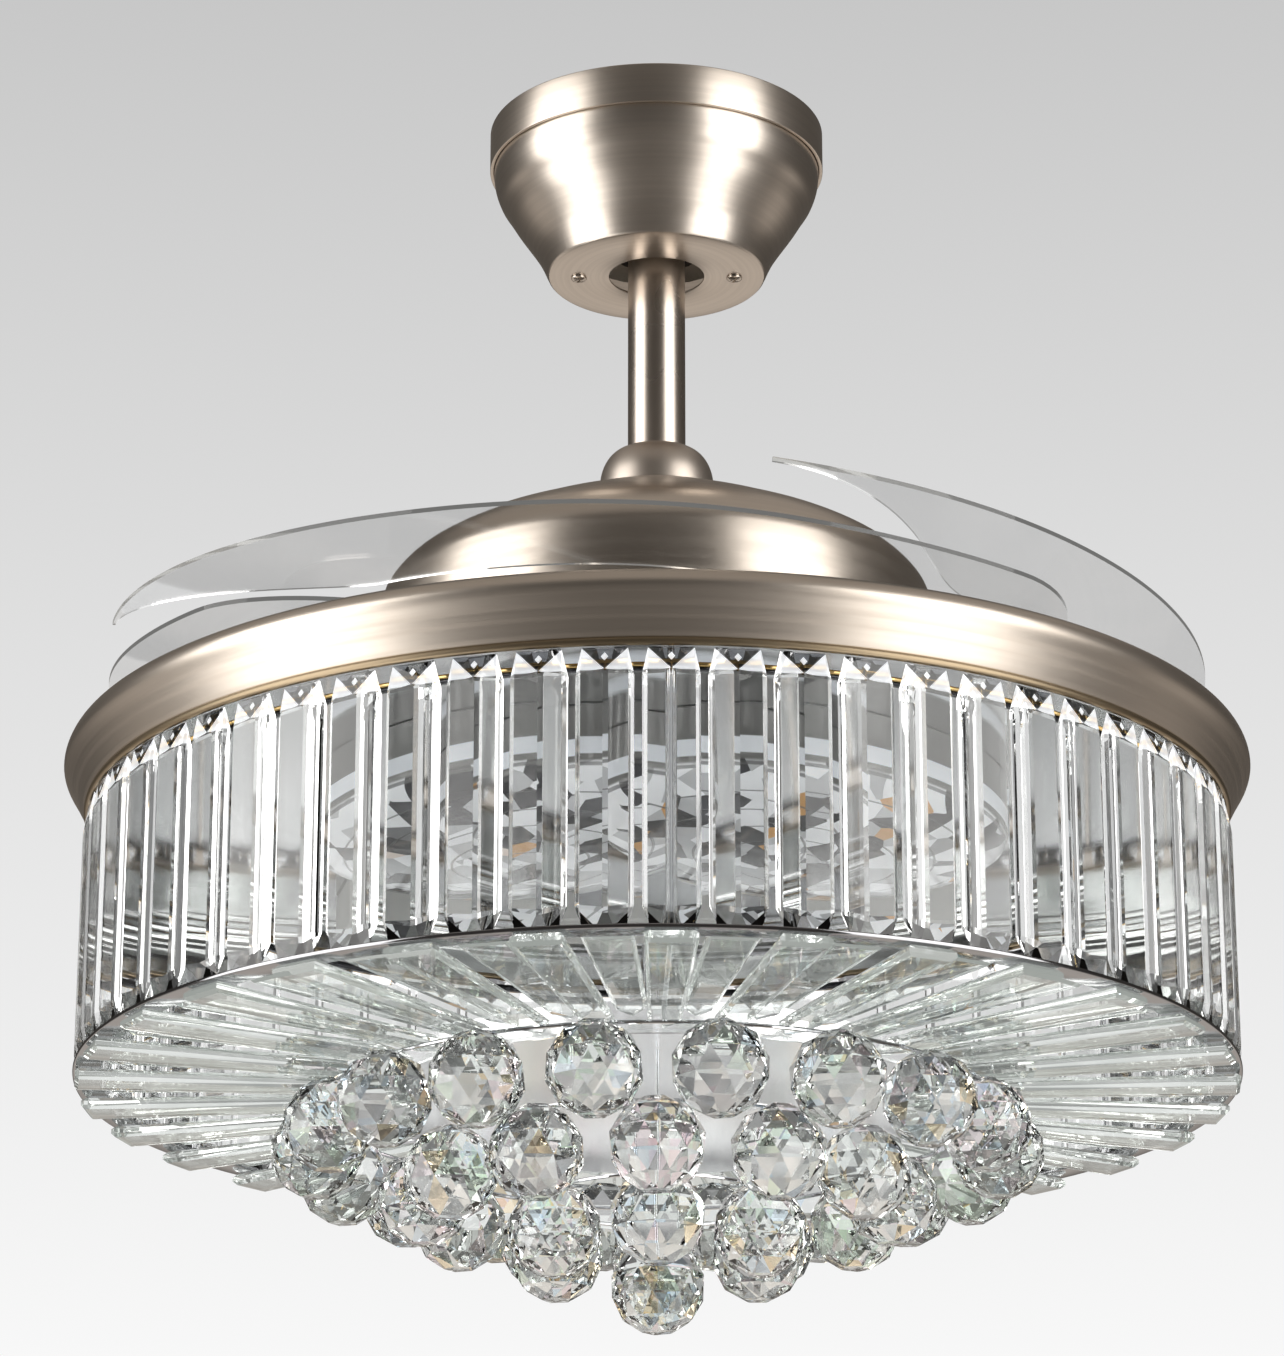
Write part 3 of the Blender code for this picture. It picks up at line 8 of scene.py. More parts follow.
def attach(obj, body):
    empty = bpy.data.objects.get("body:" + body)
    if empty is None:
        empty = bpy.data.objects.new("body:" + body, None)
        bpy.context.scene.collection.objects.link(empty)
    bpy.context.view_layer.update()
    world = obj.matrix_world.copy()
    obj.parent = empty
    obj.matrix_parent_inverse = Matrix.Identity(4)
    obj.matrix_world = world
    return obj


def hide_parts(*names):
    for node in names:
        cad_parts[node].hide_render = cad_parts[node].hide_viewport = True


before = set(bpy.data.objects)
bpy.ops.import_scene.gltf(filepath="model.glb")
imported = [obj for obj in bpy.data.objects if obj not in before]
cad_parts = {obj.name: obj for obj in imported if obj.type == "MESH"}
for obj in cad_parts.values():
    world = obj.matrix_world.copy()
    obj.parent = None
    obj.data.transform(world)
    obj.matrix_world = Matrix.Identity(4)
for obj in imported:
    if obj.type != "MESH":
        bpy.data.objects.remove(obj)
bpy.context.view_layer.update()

TURN = 2 * math.pi
DEGREE = math.radians(1)
SEGMENTS = 192
FIRST_ANGLE = math.radians(-88.7)
PIVOT_ANGLE = math.radians(86)
PIVOT_RADIUS = 0.100
PRISM_COUNT = 60
PRISM_RADIUS = 0.2459
BAR_COUNT = 30
BAR_START = 0.1190
LEG_COUNT = 6
LEG_RADIUS = 0.2395
PLATE_ARM_COUNT = 6
TRAY_UNDERSIDE = -0.3094
BLADE_COUNT = 4
BLADE_TURN = math.radians(165)
BLADE_RADIUS = 0.2413
BLADE_LEVEL = -0.29145
BLADE_CLIMB = 0.0361
BLADE_TIP_WIDTH = 0.0012
BLADE_THICKNESS = 0.0019

# Camera: below and in front of the fan
CAMERA_PLACE = (0.0, -2.0, -0.963)
CAMERA_TILT = math.radians(109.24)
CAMERA_PAN = math.radians(0.19)
CAMERA_LENS = 126.8
SENSOR = 36.0
FLOOR_LEVEL = -2.5
FLOOR_GLOW = 0.25
LIT_LEVEL = -0.20

# Turned outlines, each a list of (radius, height)
CANOPY_WALL = [(0.0745, -0.0030), (0.0745, -0.0140), (0.0743, -0.0246), (0.0720, -0.0324),
               (0.0684, -0.0384), (0.0649, -0.0442), (0.0612, -0.0497), (0.0576, -0.0550),
               (0.0546, -0.0598), (0.0523, -0.0643), (0.0507, -0.0680), (0.0496, -0.0704)]
COVER_WALL = [(0.0302, -0.1800), (0.0400, -0.1842), (0.0500, -0.1882), (0.0600, -0.1925),
              (0.0730, -0.1980), (0.0850, -0.2035), (0.1000, -0.2106), (0.1120, -0.2180),
              (0.1190, -0.2252), (0.1218, -0.2310), (0.1226, -0.2380)]
TRAY_WALL = [(0.2440, -0.3075), (0.2485, -0.3075), (0.2518, -0.3078), (0.2548, -0.3087),
             (0.2570, -0.3103), (0.2584, -0.3124), (0.2592, -0.3152), (0.2588, -0.3178),
             (0.2560, -0.3226), (0.2528, -0.3286), (0.2499, -0.3340)]
LIGHT_COVER_WALL = [(0.0980, -0.3298), (0.0967, -0.3345), (0.0930, -0.3381), (0.0843, -0.3415),
                    (0.0680, -0.3449), (0.0490, -0.3478), (0.0250, -0.3497), (0.0, -0.3503)]


def smooth_line(points, steps):
    """A fine, smooth outline through the given points."""
    line = []
    ends = [points[0], *points, points[-1]]
    for index in range(1, len(ends) - 2):
        before, start, end, after = (Vector(point) for point in ends[index - 1:index + 3])
        for step in range(steps):
            part = step / steps
            line.append(tuple(0.5 * (2 * start + (end - before) * part
                                     + (2 * before - 5 * start + 4 * end - after) * part ** 2
                                     + (3 * start - before - 3 * end + after) * part ** 3)))
    return [*line, tuple(points[-1])]


def inset(line, wall):
    """The same outline moved inwards by the wall, for the inside of a turned shell."""
    moved = []
    for index, (radius, height) in enumerate(line):
        before = Vector(line[max(index - 1, 0)])
        after = Vector(line[min(index + 1, len(line) - 1)])
        along = (after - before).normalized()
        moved.append((max(radius + along.y * wall, 0), height - along.x * wall))
    return moved


def rounded(points, radius, steps=4):
    """A closed outline with its corners rounded."""
    line = []
    for index, corner in enumerate(points):
        here = Vector(corner)
        sides = [Vector(points[index - 1]) - here, Vector(points[(index + 1) % len(points)]) - here]
        reach = min(radius, 0.45 * sides[0].length, 0.45 * sides[1].length)
        start, end = (here + side.normalized() * reach for side in sides)
        for step in range(steps + 1):
            part = step / steps
            line.append(tuple(start * (1 - part) ** 2 + here * 2 * part * (1 - part) + end * part ** 2))
    return line


def polar(radius, angle, height=0.0):
    return Vector((radius * math.cos(angle), radius * math.sin(angle), height))


def mesh_from(name, points, faces, smooth_angle=None):
    mesh = bpy.data.meshes.new(name)
    mesh.from_pydata([tuple(point) for point in points], [], faces)
    shape = bmesh.new()
    shape.from_mesh(mesh)
    bmesh.ops.remove_doubles(shape, verts=shape.verts, dist=1e-6)
    bmesh.ops.recalc_face_normals(shape, faces=shape.faces)
    shape.to_mesh(mesh)
    shape.free()
    if smooth_angle is not None:
        mesh.shade_smooth()
        mesh.set_sharp_from_angle(angle=math.radians(smooth_angle))
    return mesh


def turned(name, outline, segments=SEGMENTS, closed=True, smooth_angle=28):
    """A turned body. A closed outline makes a ring; an open one isn't joined back to its start."""
    points, faces = [], []
    for step in range(segments):
        angle = TURN * step / segments
        points += [polar(radius, angle, height) for radius, height in outline]
    count = len(outline)
    for step in range(segments):
        here, there = step * count, (step + 1) % segments * count
        for index in range(count if closed else count - 1):
            after = (index + 1) % count
            corners = [here + index, there + index, there + after, here + after]
            if outline[index][0] < 1e-7:
                corners = [here + index, there + after, here + after]
            if outline[after][0] < 1e-7:
                corners = [here + index, there + index, here + after]
            faces.append(corners)
    return mesh_from(name, points, faces, smooth_angle)


def hull(name, points):
    mesh = bpy.data.meshes.new(name)
    shape = bmesh.new()
    for point in points:
        shape.verts.new(point)
    bmesh.ops.convex_hull(shape, input=shape.verts)
    bmesh.ops.dissolve_limit(shape, angle_limit=math.radians(0.5), verts=shape.verts, edges=shape.edges)
    bmesh.ops.recalc_face_normals(shape, faces=shape.faces)
    shape.to_mesh(mesh)
    shape.free()
    return mesh


def tube(name, points, radius, sides=12, closed=False):
    """A round wire along a line of points."""
    line = [Vector(point) for point in points]
    count = len(line)
    corners, faces = [], []
    turns = [TURN * turn / sides for turn in range(sides)]
    for index, place in enumerate(line):
        before = line[index - 1] if closed or index else place
        after = line[(index + 1) % count] if closed or index < count - 1 else place
        along = (after - before).normalized()
        side = along.cross(Vector((0, 0, 1)))
        side = side.normalized() if side.length > 0.05 else Vector((1, 0, 0))
        over = side.cross(along).normalized()
        corners += [place + (side * math.cos(turn) + over * math.sin(turn)) * radius for turn in turns]
    for index in range(count if closed else count - 1):
        here, there = index * sides, (index + 1) % count * sides
        for turn in range(sides):
            after = (turn + 1) % sides
            faces.append([here + turn, here + after, there + after, there + turn])
    if not closed:
        faces.append(list(range(sides)))
        faces.append(list(range((count - 1) * sides, count * sides)))
    return mesh_from(name, corners, faces, 40)


def circle_line(radius, height, steps=96):
    return [polar(radius, TURN * step / steps, height) for step in range(steps)]


def joined(name, meshes):
    shape = bmesh.new()
    for mesh in meshes:
        shape.from_mesh(mesh)
    made = bpy.data.meshes.new(name)
    shape.to_mesh(made)
    shape.free()
    for mesh in meshes:
        bpy.data.meshes.remove(mesh)
    return made


def placed(name, data):
    made = bpy.data.objects.new(name, data)
    bpy.context.scene.collection.objects.link(made)
    return made


def evaluated(thing, name):
    """The mesh of an object with its modifiers applied; the object itself goes."""
    graph = bpy.context.evaluated_depsgraph_get()
    made = bpy.data.meshes.new_from_object(thing.evaluated_get(graph), depsgraph=graph)
    made.name = name
    bpy.data.objects.remove(thing)
    return made


def cut_away(mesh, cutters):
    """The mesh with other closed meshes cut out of it."""
    body = placed("cut_body", mesh)
    tools = [placed("cutter", cutter) for cutter in cutters]
    for tool in tools:
        cut = body.modifiers.new("Cut", "BOOLEAN")
        cut.object = tool
        cut.solver = "EXACT"
    made = evaluated(body, mesh.name)
    for tool in tools:
        bpy.data.objects.remove(tool)
    return made


def piece(name, mesh, material, body, stands_for=()):
    """One visible piece, riding on its body and standing for the CAD nodes named."""
    made = placed(name, mesh)
    if material is not None:
        mesh.materials.clear()
        mesh.materials.append(material)
    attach(made, body)
    if stands_for:
        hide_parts(*stands_for)
    return made


class Sums:
    """Short calls that add arithmetic and other nodes to one node tree."""

    def __init__(self, tree):
        self.tree = tree

    def feed(self, socket, value):
        if isinstance(value, bpy.types.NodeSocket):
            self.tree.links.new(value, socket)
        elif socket.type == "RGBA" and len(value) == 3:
            socket.default_value = (*value, 1)
        else:
            socket.default_value = value

    def node(self, kind, values=None, **settings):
        made = self.tree.nodes.new(kind)
        for key, value in settings.items():
            setattr(made, key, value)
        for key, value in (values or {}).items():
            self.feed(made.inputs[key], value)
        return made

    def do(self, operation, *values, clamp=False):
        made = self.node("ShaderNodeMath", operation=operation, use_clamp=clamp)
        for socket, value in zip(made.inputs, values):
            self.feed(socket, value)
        return made.outputs[0]

    def ramp(self, value, low, high, start=0.0, end=1.0, kind="SMOOTHSTEP"):
        made = self.node("ShaderNodeMapRange", interpolation_type=kind)
        for key, given in (("Value", value), ("From Min", low), ("From Max", high),
                           ("To Min", start), ("To Max", end)):
            self.feed(made.inputs[key], given)
        return made.outputs[0]

    def band(self, value, centre, half, soft):
        """1 inside centre plus or minus half, falling to 0 over soft."""
        off = self.do("ABSOLUTE", self.do("SUBTRACT", value, centre))
        return self.ramp(off, half + soft, half)

    def plus(self, first, second):
        return self.do("ADD", first, second)

    def minus(self, first, second):
        return self.do("SUBTRACT", first, second)

    def times(self, first, second):
        return self.do("MULTIPLY", first, second)

    def larger(self, first, second):
        return self.do("MAXIMUM", first, second)

    def split(self, vector):
        return self.node("ShaderNodeSeparateXYZ", {0: vector}).outputs

    def facing(self):
        """The way the surface faces, as three numbers."""
        return self.split(self.node("ShaderNodeTexCoord").outputs["Normal"])

    def distance(self, parts):
        """How far a place lies from the axis."""
        flat = self.vector(parts[0], parts[1])
        return self.node("ShaderNodeVectorMath", {0: flat}, operation="LENGTH").outputs["Value"]

    def vector(self, x=0.0, y=0.0, z=0.0):
        return self.node("ShaderNodeCombineXYZ", {"X": x, "Y": y, "Z": z}).outputs[0]

    def noise(self, place, scale, detail, roughness=0.5):
        return self.node("ShaderNodeTexNoise", {"Vector": place, "Scale": scale, "Detail": detail,
                                                "Roughness": roughness}).outputs[0]

    def mix(self, factor, first, second):
        made = self.node("ShaderNodeMix", data_type="RGBA")
        self.feed(made.inputs[0], factor)
        self.feed(made.inputs[6], first)
        self.feed(made.inputs[7], second)
        return made.outputs[2]


def shader_group(name, inputs, results):
    """A group that takes a position and the inputs named with their values, and gives numbers."""
    group = bpy.data.node_groups.new(name, "ShaderNodeTree")
    group.interface.new_socket(name="Position", in_out="INPUT", socket_type="NodeSocketVector")
    for title, value in inputs.items():
        kind = "Color" if isinstance(value, tuple) else "Float"
        socket = group.interface.new_socket(name=title, in_out="INPUT", socket_type="NodeSocket" + kind)
        socket.default_value = value
    for title in results:
        kind = "Color" if title == "Colour" else "Float"
        group.interface.new_socket(name=title, in_out="OUTPUT", socket_type="NodeSocket" + kind)
    sums = Sums(group)
    return group, sums, sums.node("NodeGroupInput").outputs, sums.node("NodeGroupOutput").inputs


def brushing_group():
    """Fine brushing that runs round the axis of a turned piece."""
    group, sums, given, result = shader_group(
        "Turned brushing", {"Lines": 2600.0}, ("Height", "Streak", "Patch"))
    parts = sums.split(given["Position"])
    flat = sums.vector(parts[0], parts[1])
    around = sums.split(sums.node("ShaderNodeVectorMath", {0: flat}, operation="NORMALIZE").outputs[0])
    lines = given["Lines"]
    place = sums.vector(sums.plus(sums.times(sums.distance(parts), lines), sums.times(around[0], 1.6)),
                        sums.times(parts[2], lines), sums.times(around[1], 1.6))
    sums.feed(result["Height"], sums.noise(place, 1.0, 2.0, 0.6))
    sums.feed(result["Streak"], sums.ramp(sums.noise(place, 0.12, 3.0), 0.3, 0.7))
    sums.feed(result["Patch"], sums.ramp(sums.noise(given["Position"], 14.0, 3.0), 0.35, 0.65))
    return group


def grain_group():
    """Small even grain with soft larger patches, for plastics and smooth metals."""
    group, sums, given, result = shader_group(
        "Fine grain", {"Grain": 1500.0}, ("Height", "Patch"))
    sums.feed(result["Height"], sums.noise(given["Position"], given["Grain"], 2.0))
    sums.feed(result["Patch"], sums.ramp(sums.noise(given["Position"], 22.0, 2.0), 0.35, 0.65))
    return group


def wound_group():
    """Close turns of wire that run round the axis, and sheets stacked along it."""
    group, sums, given, result = shader_group(
        "Wound turns", {"Pitch": 0.0011}, ("Height", "Shade"))
    parts = sums.split(given["Position"])
    along = sums.plus(sums.distance(parts), parts[2])
    turns = sums.do("DIVIDE", along, given["Pitch"])
    wave = sums.do("ABSOLUTE", sums.do("SINE", sums.times(turns, math.pi)))
    sums.feed(result["Height"], wave)
    sums.feed(result["Shade"], sums.ramp(wave, 0.0, 0.5))
    return group


def tint_group():
    """Slow drift of tone inside cut crystal and clear plastic."""
    group, sums, given, result = shader_group(
        "Crystal tone", {"Clear": (0.985, 0.99, 0.988, 1), "Deep": (0.93, 0.955, 0.945, 1)}, ("Colour",))
    mask = sums.ramp(sums.noise(given["Position"], 34.0, 2.0), 0.38, 0.68)
    sums.feed(result["Colour"], sums.mix(mask, given["Clear"], given["Deep"]))
    return group


BRUSHING = brushing_group()
GRAIN = grain_group()
WOUND = wound_group()
TINT = tint_group()


def start_material(name, colour, roughness, metallic=0.0):
    material = bpy.data.materials.new(name)
    material.use_nodes = True
    sums = Sums(material.node_tree)
    shader = material.node_tree.nodes["Principled BSDF"]
    shader.inputs["Base Color"].default_value = (*colour, 1)
    shader.inputs["Roughness"].default_value = roughness
    shader.inputs["Metallic"].default_value = metallic
    place = sums.node("ShaderNodeTexCoord").outputs["Object"]
    return material, sums, shader, place


def use_group(sums, group, values):
    made = sums.node("ShaderNodeGroup", node_tree=group)
    for key, value in values.items():
        sums.feed(made.inputs[key], value)
    return made


def paint(sums, shader, colour):
    sums.feed(shader.inputs["Base Color"], colour)


def add_glow(sums, shader, colour, strength=1.0):
    sums.feed(shader.inputs["Emission Color"], colour)
    sums.feed(shader.inputs["Emission Strength"], strength)


def make_clear(shader, ior):
    shader.inputs["Transmission Weight"].default_value = 1.0
    shader.inputs["IOR"].default_value = ior


def add_bump(sums, shader, height, strength, distance):
    bump = sums.node("ShaderNodeBump", {"Height": height, "Strength": strength, "Distance": distance})
    sums.feed(shader.inputs["Normal"], bump.outputs[0])


def brushed_metal(name, colour, roughness, lines, strength, spread):
    """Metal brushed round its axis; the streaks change both tone and gloss."""
    material, sums, shader, place = start_material(name, colour, roughness, 1.0)
    effect = use_group(sums, BRUSHING, {"Position": place, "Lines": lines})
    dull = tuple(0.90 * part for part in colour)
    paint(sums, shader, sums.mix(effect.outputs["Streak"], colour, dull))
    gloss = sums.ramp(effect.outputs["Streak"], 0.0, 1.0, roughness - spread, roughness + spread, "LINEAR")
    worn = sums.plus(gloss, sums.times(effect.outputs["Patch"], 0.6 * spread))
    sums.feed(shader.inputs["Roughness"], worn)
    add_bump(sums, shader, effect.outputs["Height"], strength, 0.00008)
    return material


def tray_metal(name):
    """Brushed nickel on the ring's outside, bright polish on the side that faces the lamp."""
    material, sums, shader, place = start_material(name, (0.67, 0.595, 0.52), 0.27, 1.0)
    effect = use_group(sums, BRUSHING, {"Position": place})
    facing = sums.facing()
    parts = sums.split(place)
    outward = sums.plus(sums.times(facing[0], parts[0]), sums.times(facing[1], parts[1]))
    under = sums.times(sums.ramp(facing[2], -0.55, -0.75), sums.ramp(parts[2], -0.320, -0.316))
    inside = sums.do("MAXIMUM", under, sums.ramp(outward, -0.01, -0.03), clamp=True)
    shade = sums.mix(effect.outputs["Streak"], (0.62, 0.553, 0.484), (0.56, 0.492, 0.425))
    lip = sums.ramp(parts[2], -0.3342, -0.3350)
    shade = sums.mix(lip, shade, (0.30, 0.235, 0.155))
    inside = sums.times(inside, sums.minus(1.0, lip))
    paint(sums, shader, sums.mix(inside, shade, (0.78, 0.785, 0.79)))
    gloss = sums.ramp(effect.outputs["Streak"], 0.0, 1.0, 0.30, 0.36, "LINEAR")
    polish = sums.times(inside, -0.23)
    sums.feed(shader.inputs["Roughness"], sums.plus(gloss, polish))
    depth = sums.times(effect.outputs["Height"], sums.minus(1.0, inside))
    add_bump(sums, shader, depth, 0.20, 0.00008)
    return material


def plain_metal(name, colour, roughness, grain=900.0, strength=0.02, spread=0.03):
    material, sums, shader, place = start_material(name, colour, roughness, 1.0)
    effect = use_group(sums, GRAIN, {"Position": place, "Grain": grain})
    sums.feed(shader.inputs["Roughness"],
              sums.ramp(effect.outputs["Patch"], 0.0, 1.0, roughness, roughness + spread, "LINEAR"))
    add_bump(sums, shader, effect.outputs["Height"], strength, 0.00005)
    return material


def moulded(name, colour, roughness, strength=0.12):
    material, sums, shader, place = start_material(name, colour, roughness)
    effect = use_group(sums, GRAIN, {"Position": place, "Grain": 1800.0})
    darker = tuple(0.92 * part for part in colour)
    paint(sums, shader, sums.mix(effect.outputs["Patch"], colour, darker))
    add_bump(sums, shader, effect.outputs["Height"], strength, 0.00006)
    return material


def wound_metal(name, colour, roughness, pitch, strength):
    material, sums, shader, place = start_material(name, colour, roughness, 1.0)
    effect = use_group(sums, WOUND, {"Position": place, "Pitch": pitch})
    # Darker in the grooves between turns and sheets: partly their dark joints, partly painted shade
    darker = tuple(0.45 * part for part in colour)
    paint(sums, shader, sums.mix(effect.outputs["Shade"], darker, colour))
    add_bump(sums, shader, effect.outputs["Height"], strength, 0.0003)
    return material


def cut_crystal(name, clear, deep, ior, top=None):
    """Clear cut crystal. With a top given, the cut caps above that level look frosted and get a painted glow
    that makes them bright.
    """
    material, sums, shader, place = start_material(name, clear, 0.0)
    make_clear(shader, ior)
    effect = use_group(sums, TINT, {"Position": place, "Clear": clear, "Deep": deep})
    paint(sums, shader, effect.outputs["Colour"])
    if top is not None:
        dress_caps(sums, shader, place, effect.outputs["Colour"], top)
    return material


def add_painted_fire(material):
    """Painted fire: single facets tinted amber, rose, blue or green as painted glints of split light, and some
    grey as painted shade, picked by the way each facet faces.
    """
    tree = material.node_tree
    sums = Sums(tree)
    shader = tree.nodes["Principled BSDF"]
    colour = shader.inputs["Base Color"].links[0].from_socket
    coordinates = sums.node("ShaderNodeTexCoord").outputs
    steps, cells = (sums.node("ShaderNodeVectorMath", {0: coordinates[name], 1: (grid, grid, grid)},
                              operation="SNAP").outputs[0]
                    for name, grid in (("Normal", 0.07), ("Object", 0.041)))
    seed = sums.node("ShaderNodeVectorMath", {0: steps, 1: cells}, operation="ADD").outputs[0]
    chance = sums.node("ShaderNodeTexWhiteNoise", {"Vector": seed}, noise_dimensions="3D").outputs["Value"]
    # Painted glints in amber, rose, blue and green, and painted shade in grey
    for start, tint in ((0.0, (1.0, 0.74, 0.42)), (0.06, (1.0, 0.80, 0.86)), (0.10, (0.68, 0.84, 1.0)),
                        (0.16, (0.82, 1.0, 0.80)), (0.20, (0.42, 0.42, 0.43))):
        inside = sums.band(chance, start + 0.02, 0.0195, 0.0005)
        colour = sums.mix(inside, colour, tint)
    paint(sums, shader, colour)


def lift_shade(material, colour):
    """A faint glow, for light that close crystals pass to one another and to the plate by them."""
    add_glow(Sums(material.node_tree), material.node_tree.nodes["Principled BSDF"], colour)


def dress_caps(sums, shader, place, colour, top):
    """Frosted caps made bright by a painted glow, each with a dark notch of painted shade in the middle where
    its pin is drilled in.
    """
    parts = sums.split(place)
    facing = sums.facing()
    angle = sums.do("ARCTAN2", parts[1], parts[0])
    cells = sums.do("DIVIDE", sums.minus(angle, FIRST_ANGLE - TURN), TURN / PRISM_COUNT)
    off = sums.do("ABSOLUTE", sums.minus(sums.do("FRACT", sums.plus(cells, 0.5)), 0.5))
    above = sums.minus(parts[2], top)
    cap = sums.times(sums.ramp(above, -0.0004, 0.0004), sums.band(facing[2], 0.50, 0.37, 0.08))
    notch = sums.ramp(sums.minus(above, sums.times(off, 0.026)), 0.0, 0.0008)
    pin = sums.plus(sums.do("DIVIDE", off, 0.055),
                    sums.do("DIVIDE", sums.do("ABSOLUTE", sums.minus(above, 0.0058)), 0.0018))
    notch = sums.times(notch, sums.ramp(pin, 0.9, 1.1))
    # Frosted finish on the caps; the same mask also gives them their painted glow
    frosted_and_glow = sums.times(cap, sums.minus(1.0, notch))
    # Painted shade: the notch where each pin is drilled in is painted near black
    dark = sums.times(cap, notch)
    paint(sums, shader, sums.mix(dark, colour, (0.10, 0.10, 0.105)))
    sums.feed(shader.inputs["Roughness"], sums.times(frosted_and_glow, 0.30))
    # Painted glow that makes the frosted caps bright
    add_glow(sums, shader, sums.mix(frosted_and_glow, (0.0, 0.0, 0.0), (0.58, 0.59, 0.61)))


def clear_sheet(name):
    """Clear plastic sheet whose cut edges get painted shade and a faint painted grey glow, so they look darker
    than its faces.
    """
    material, sums, shader, place = start_material(name, (0.96, 0.97, 0.97), 0.02)
    make_clear(shader, 1.30)
    facing = sums.facing()
    upright = sums.do("ABSOLUTE", facing[2])
    face = sums.ramp(upright, 0.35, 0.75)
    effect = use_group(sums, TINT, {"Position": place, "Clear": (0.998, 1.0, 1.0), "Deep": (0.985, 0.99, 0.99)})
    # Painted shade on the cut edges: they are tinted grey where the faces stay clear
    paint(sums, shader, sums.mix(face, (0.42, 0.415, 0.40), effect.outputs["Colour"]))
    # Painted glow: the cut edges glow faintly grey, the faces not at all
    add_glow(sums, shader, sums.mix(face, (0.16, 0.16, 0.155), (0.0, 0.0, 0.0)))
    return material


def milky_cover(name):
    """Milky plastic, its light and shade painted: a bright band round the side wall with shade above and below,
    dome cells dark or white with a few amber, and moulded rings with shade in their grooves; it all glows
    faintly.
    """
    material, sums, shader, place = start_material(name, (0.90, 0.91, 0.92), 0.22)
    parts = sums.split(place)
    radius = sums.distance(parts)
    # Painted facets: the cells are colour only, the dark ones painted shade and the white ones painted
    # highlights
    facets = sums.node("ShaderNodeTexVoronoi", {"Vector": place, "Scale": 62.0})
    chance = sums.split(facets.outputs["Color"])[0]
    light = sums.plus(sums.times(sums.ramp(chance, 0.27, 0.31), 0.55),
                      sums.times(sums.ramp(chance, 0.52, 0.56), 0.45))
    dome = sums.ramp(parts[2], -0.3335, -0.3350)
    shade_dome = sums.mix(light, (0.04, 0.04, 0.045), (0.93, 0.95, 0.98))
    shade_dome = sums.mix(sums.ramp(chance, 0.950, 0.955), shade_dome, (0.66, 0.36, 0.13))
    # Painted light on the side wall: a bright band, with painted shade above and below it
    band = sums.band(parts[2], -0.3278, 0.0034, 0.0006)
    ring = sums.do("ABSOLUTE", sums.do("SINE", sums.times(radius, math.pi / 0.0160)))
    side = sums.mix(band, (0.17, 0.17, 0.165), (0.90, 0.94, 1.0))
    shade = sums.mix(dome, side, shade_dome)
    # Moulded rings on the dome, raised in the bump, with painted shade in their grooves
    dark = sums.times(dome, sums.ramp(ring, 0.14, 0.06))
    paint(sums, shader, sums.mix(dark, shade, (0.10, 0.10, 0.10)))
    shader.inputs["Coat Weight"].default_value = 0.6
    shader.inputs["IOR"].default_value = 1.45
    # The painted light and shade also glow faintly
    add_glow(sums, shader, shade, 0.15)
    add_bump(sums, shader, sums.minus(1.0, dark), 0.5, 0.0006)
    return material


def light_board(name):
    """White board with rings of small square lamps."""
    material, sums, shader, place = start_material(name, (0.86, 0.86, 0.85), 0.4)
    parts = sums.split(place)
    radius = sums.distance(parts)
    angle = sums.do("ARCTAN2", parts[1], parts[0])
    row = sums.do("ABSOLUTE", sums.do("SINE", sums.times(radius, math.pi / 0.014)))
    column = sums.do("ABSOLUTE", sums.do("SINE", sums.times(angle, 12.0)))
    lamp = sums.times(sums.ramp(row, 0.86, 0.92), sums.ramp(column, 0.80, 0.88))
    paint(sums, shader, sums.mix(lamp, (0.86, 0.86, 0.85), (0.95, 0.80, 0.30)))
    return material


NICKEL_CANOPY = brushed_metal("Satin nickel canopy", (0.68, 0.61, 0.54), 0.29, 3400.0, 0.05, 0.012)
NICKEL_DOME = brushed_metal("Satin nickel motor dome", (0.68, 0.605, 0.53), 0.30, 2600.0, 0.16, 0.03)
NICKEL_FINE = brushed_metal("Satin nickel, fine", (0.64, 0.57, 0.50), 0.31, 3400.0, 0.04, 0.012)
NICKEL_ROD = plain_metal("Satin nickel rod", (0.60, 0.53, 0.465), 0.27)
NICKEL_BELL = plain_metal("Satin nickel coupling cover", (0.52, 0.46, 0.405), 0.40, 900.0, 0.03, 0.05)
TRAY_NICKEL = tray_metal("Satin nickel tray, bright inside")
DARK_CHROME = plain_metal("Base ring polish", (0.34, 0.34, 0.355), 0.08)
BLACK_NICKEL = plain_metal("Frame hoop black nickel", (0.05, 0.05, 0.055), 0.22, spread=0.05)
BRIGHT_PLATE = plain_metal("Ball plate polish", (0.93, 0.935, 0.94), 0.20, spread=0.05)
SCREW_NICKEL = plain_metal("Nickel screw head", (0.60, 0.54, 0.48), 0.26)
CHROME = plain_metal("Polished chrome", (0.72, 0.73, 0.75), 0.05)
ZINC = plain_metal("Zinc plated steel", (0.62, 0.63, 0.62), 0.34, 700.0, 0.10, 0.10)
BRASS = plain_metal("Polished brass", (0.83, 0.58, 0.25), 0.14, 1200.0, 0.04, 0.06)
ALUMINIUM = brushed_metal("Turned aluminium", (0.72, 0.73, 0.74), 0.32, 2200.0, 0.25, 0.05)
CORE_STEEL = wound_metal("Stacked core steel", (0.42, 0.42, 0.43), 0.42, 0.0010, 0.35)
COPPER = wound_metal("Copper winding", (0.78, 0.38, 0.20), 0.30, 0.0012, 0.7)
SPRING_STEEL = plain_metal("Spring steel", (0.55, 0.55, 0.56), 0.25, 1500.0, 0.05, 0.05)
MAGNET = moulded("Magnet ring", (0.11, 0.11, 0.12), 0.38)
NYLON = moulded("Black nylon liner", (0.020, 0.020, 0.024), 0.45)
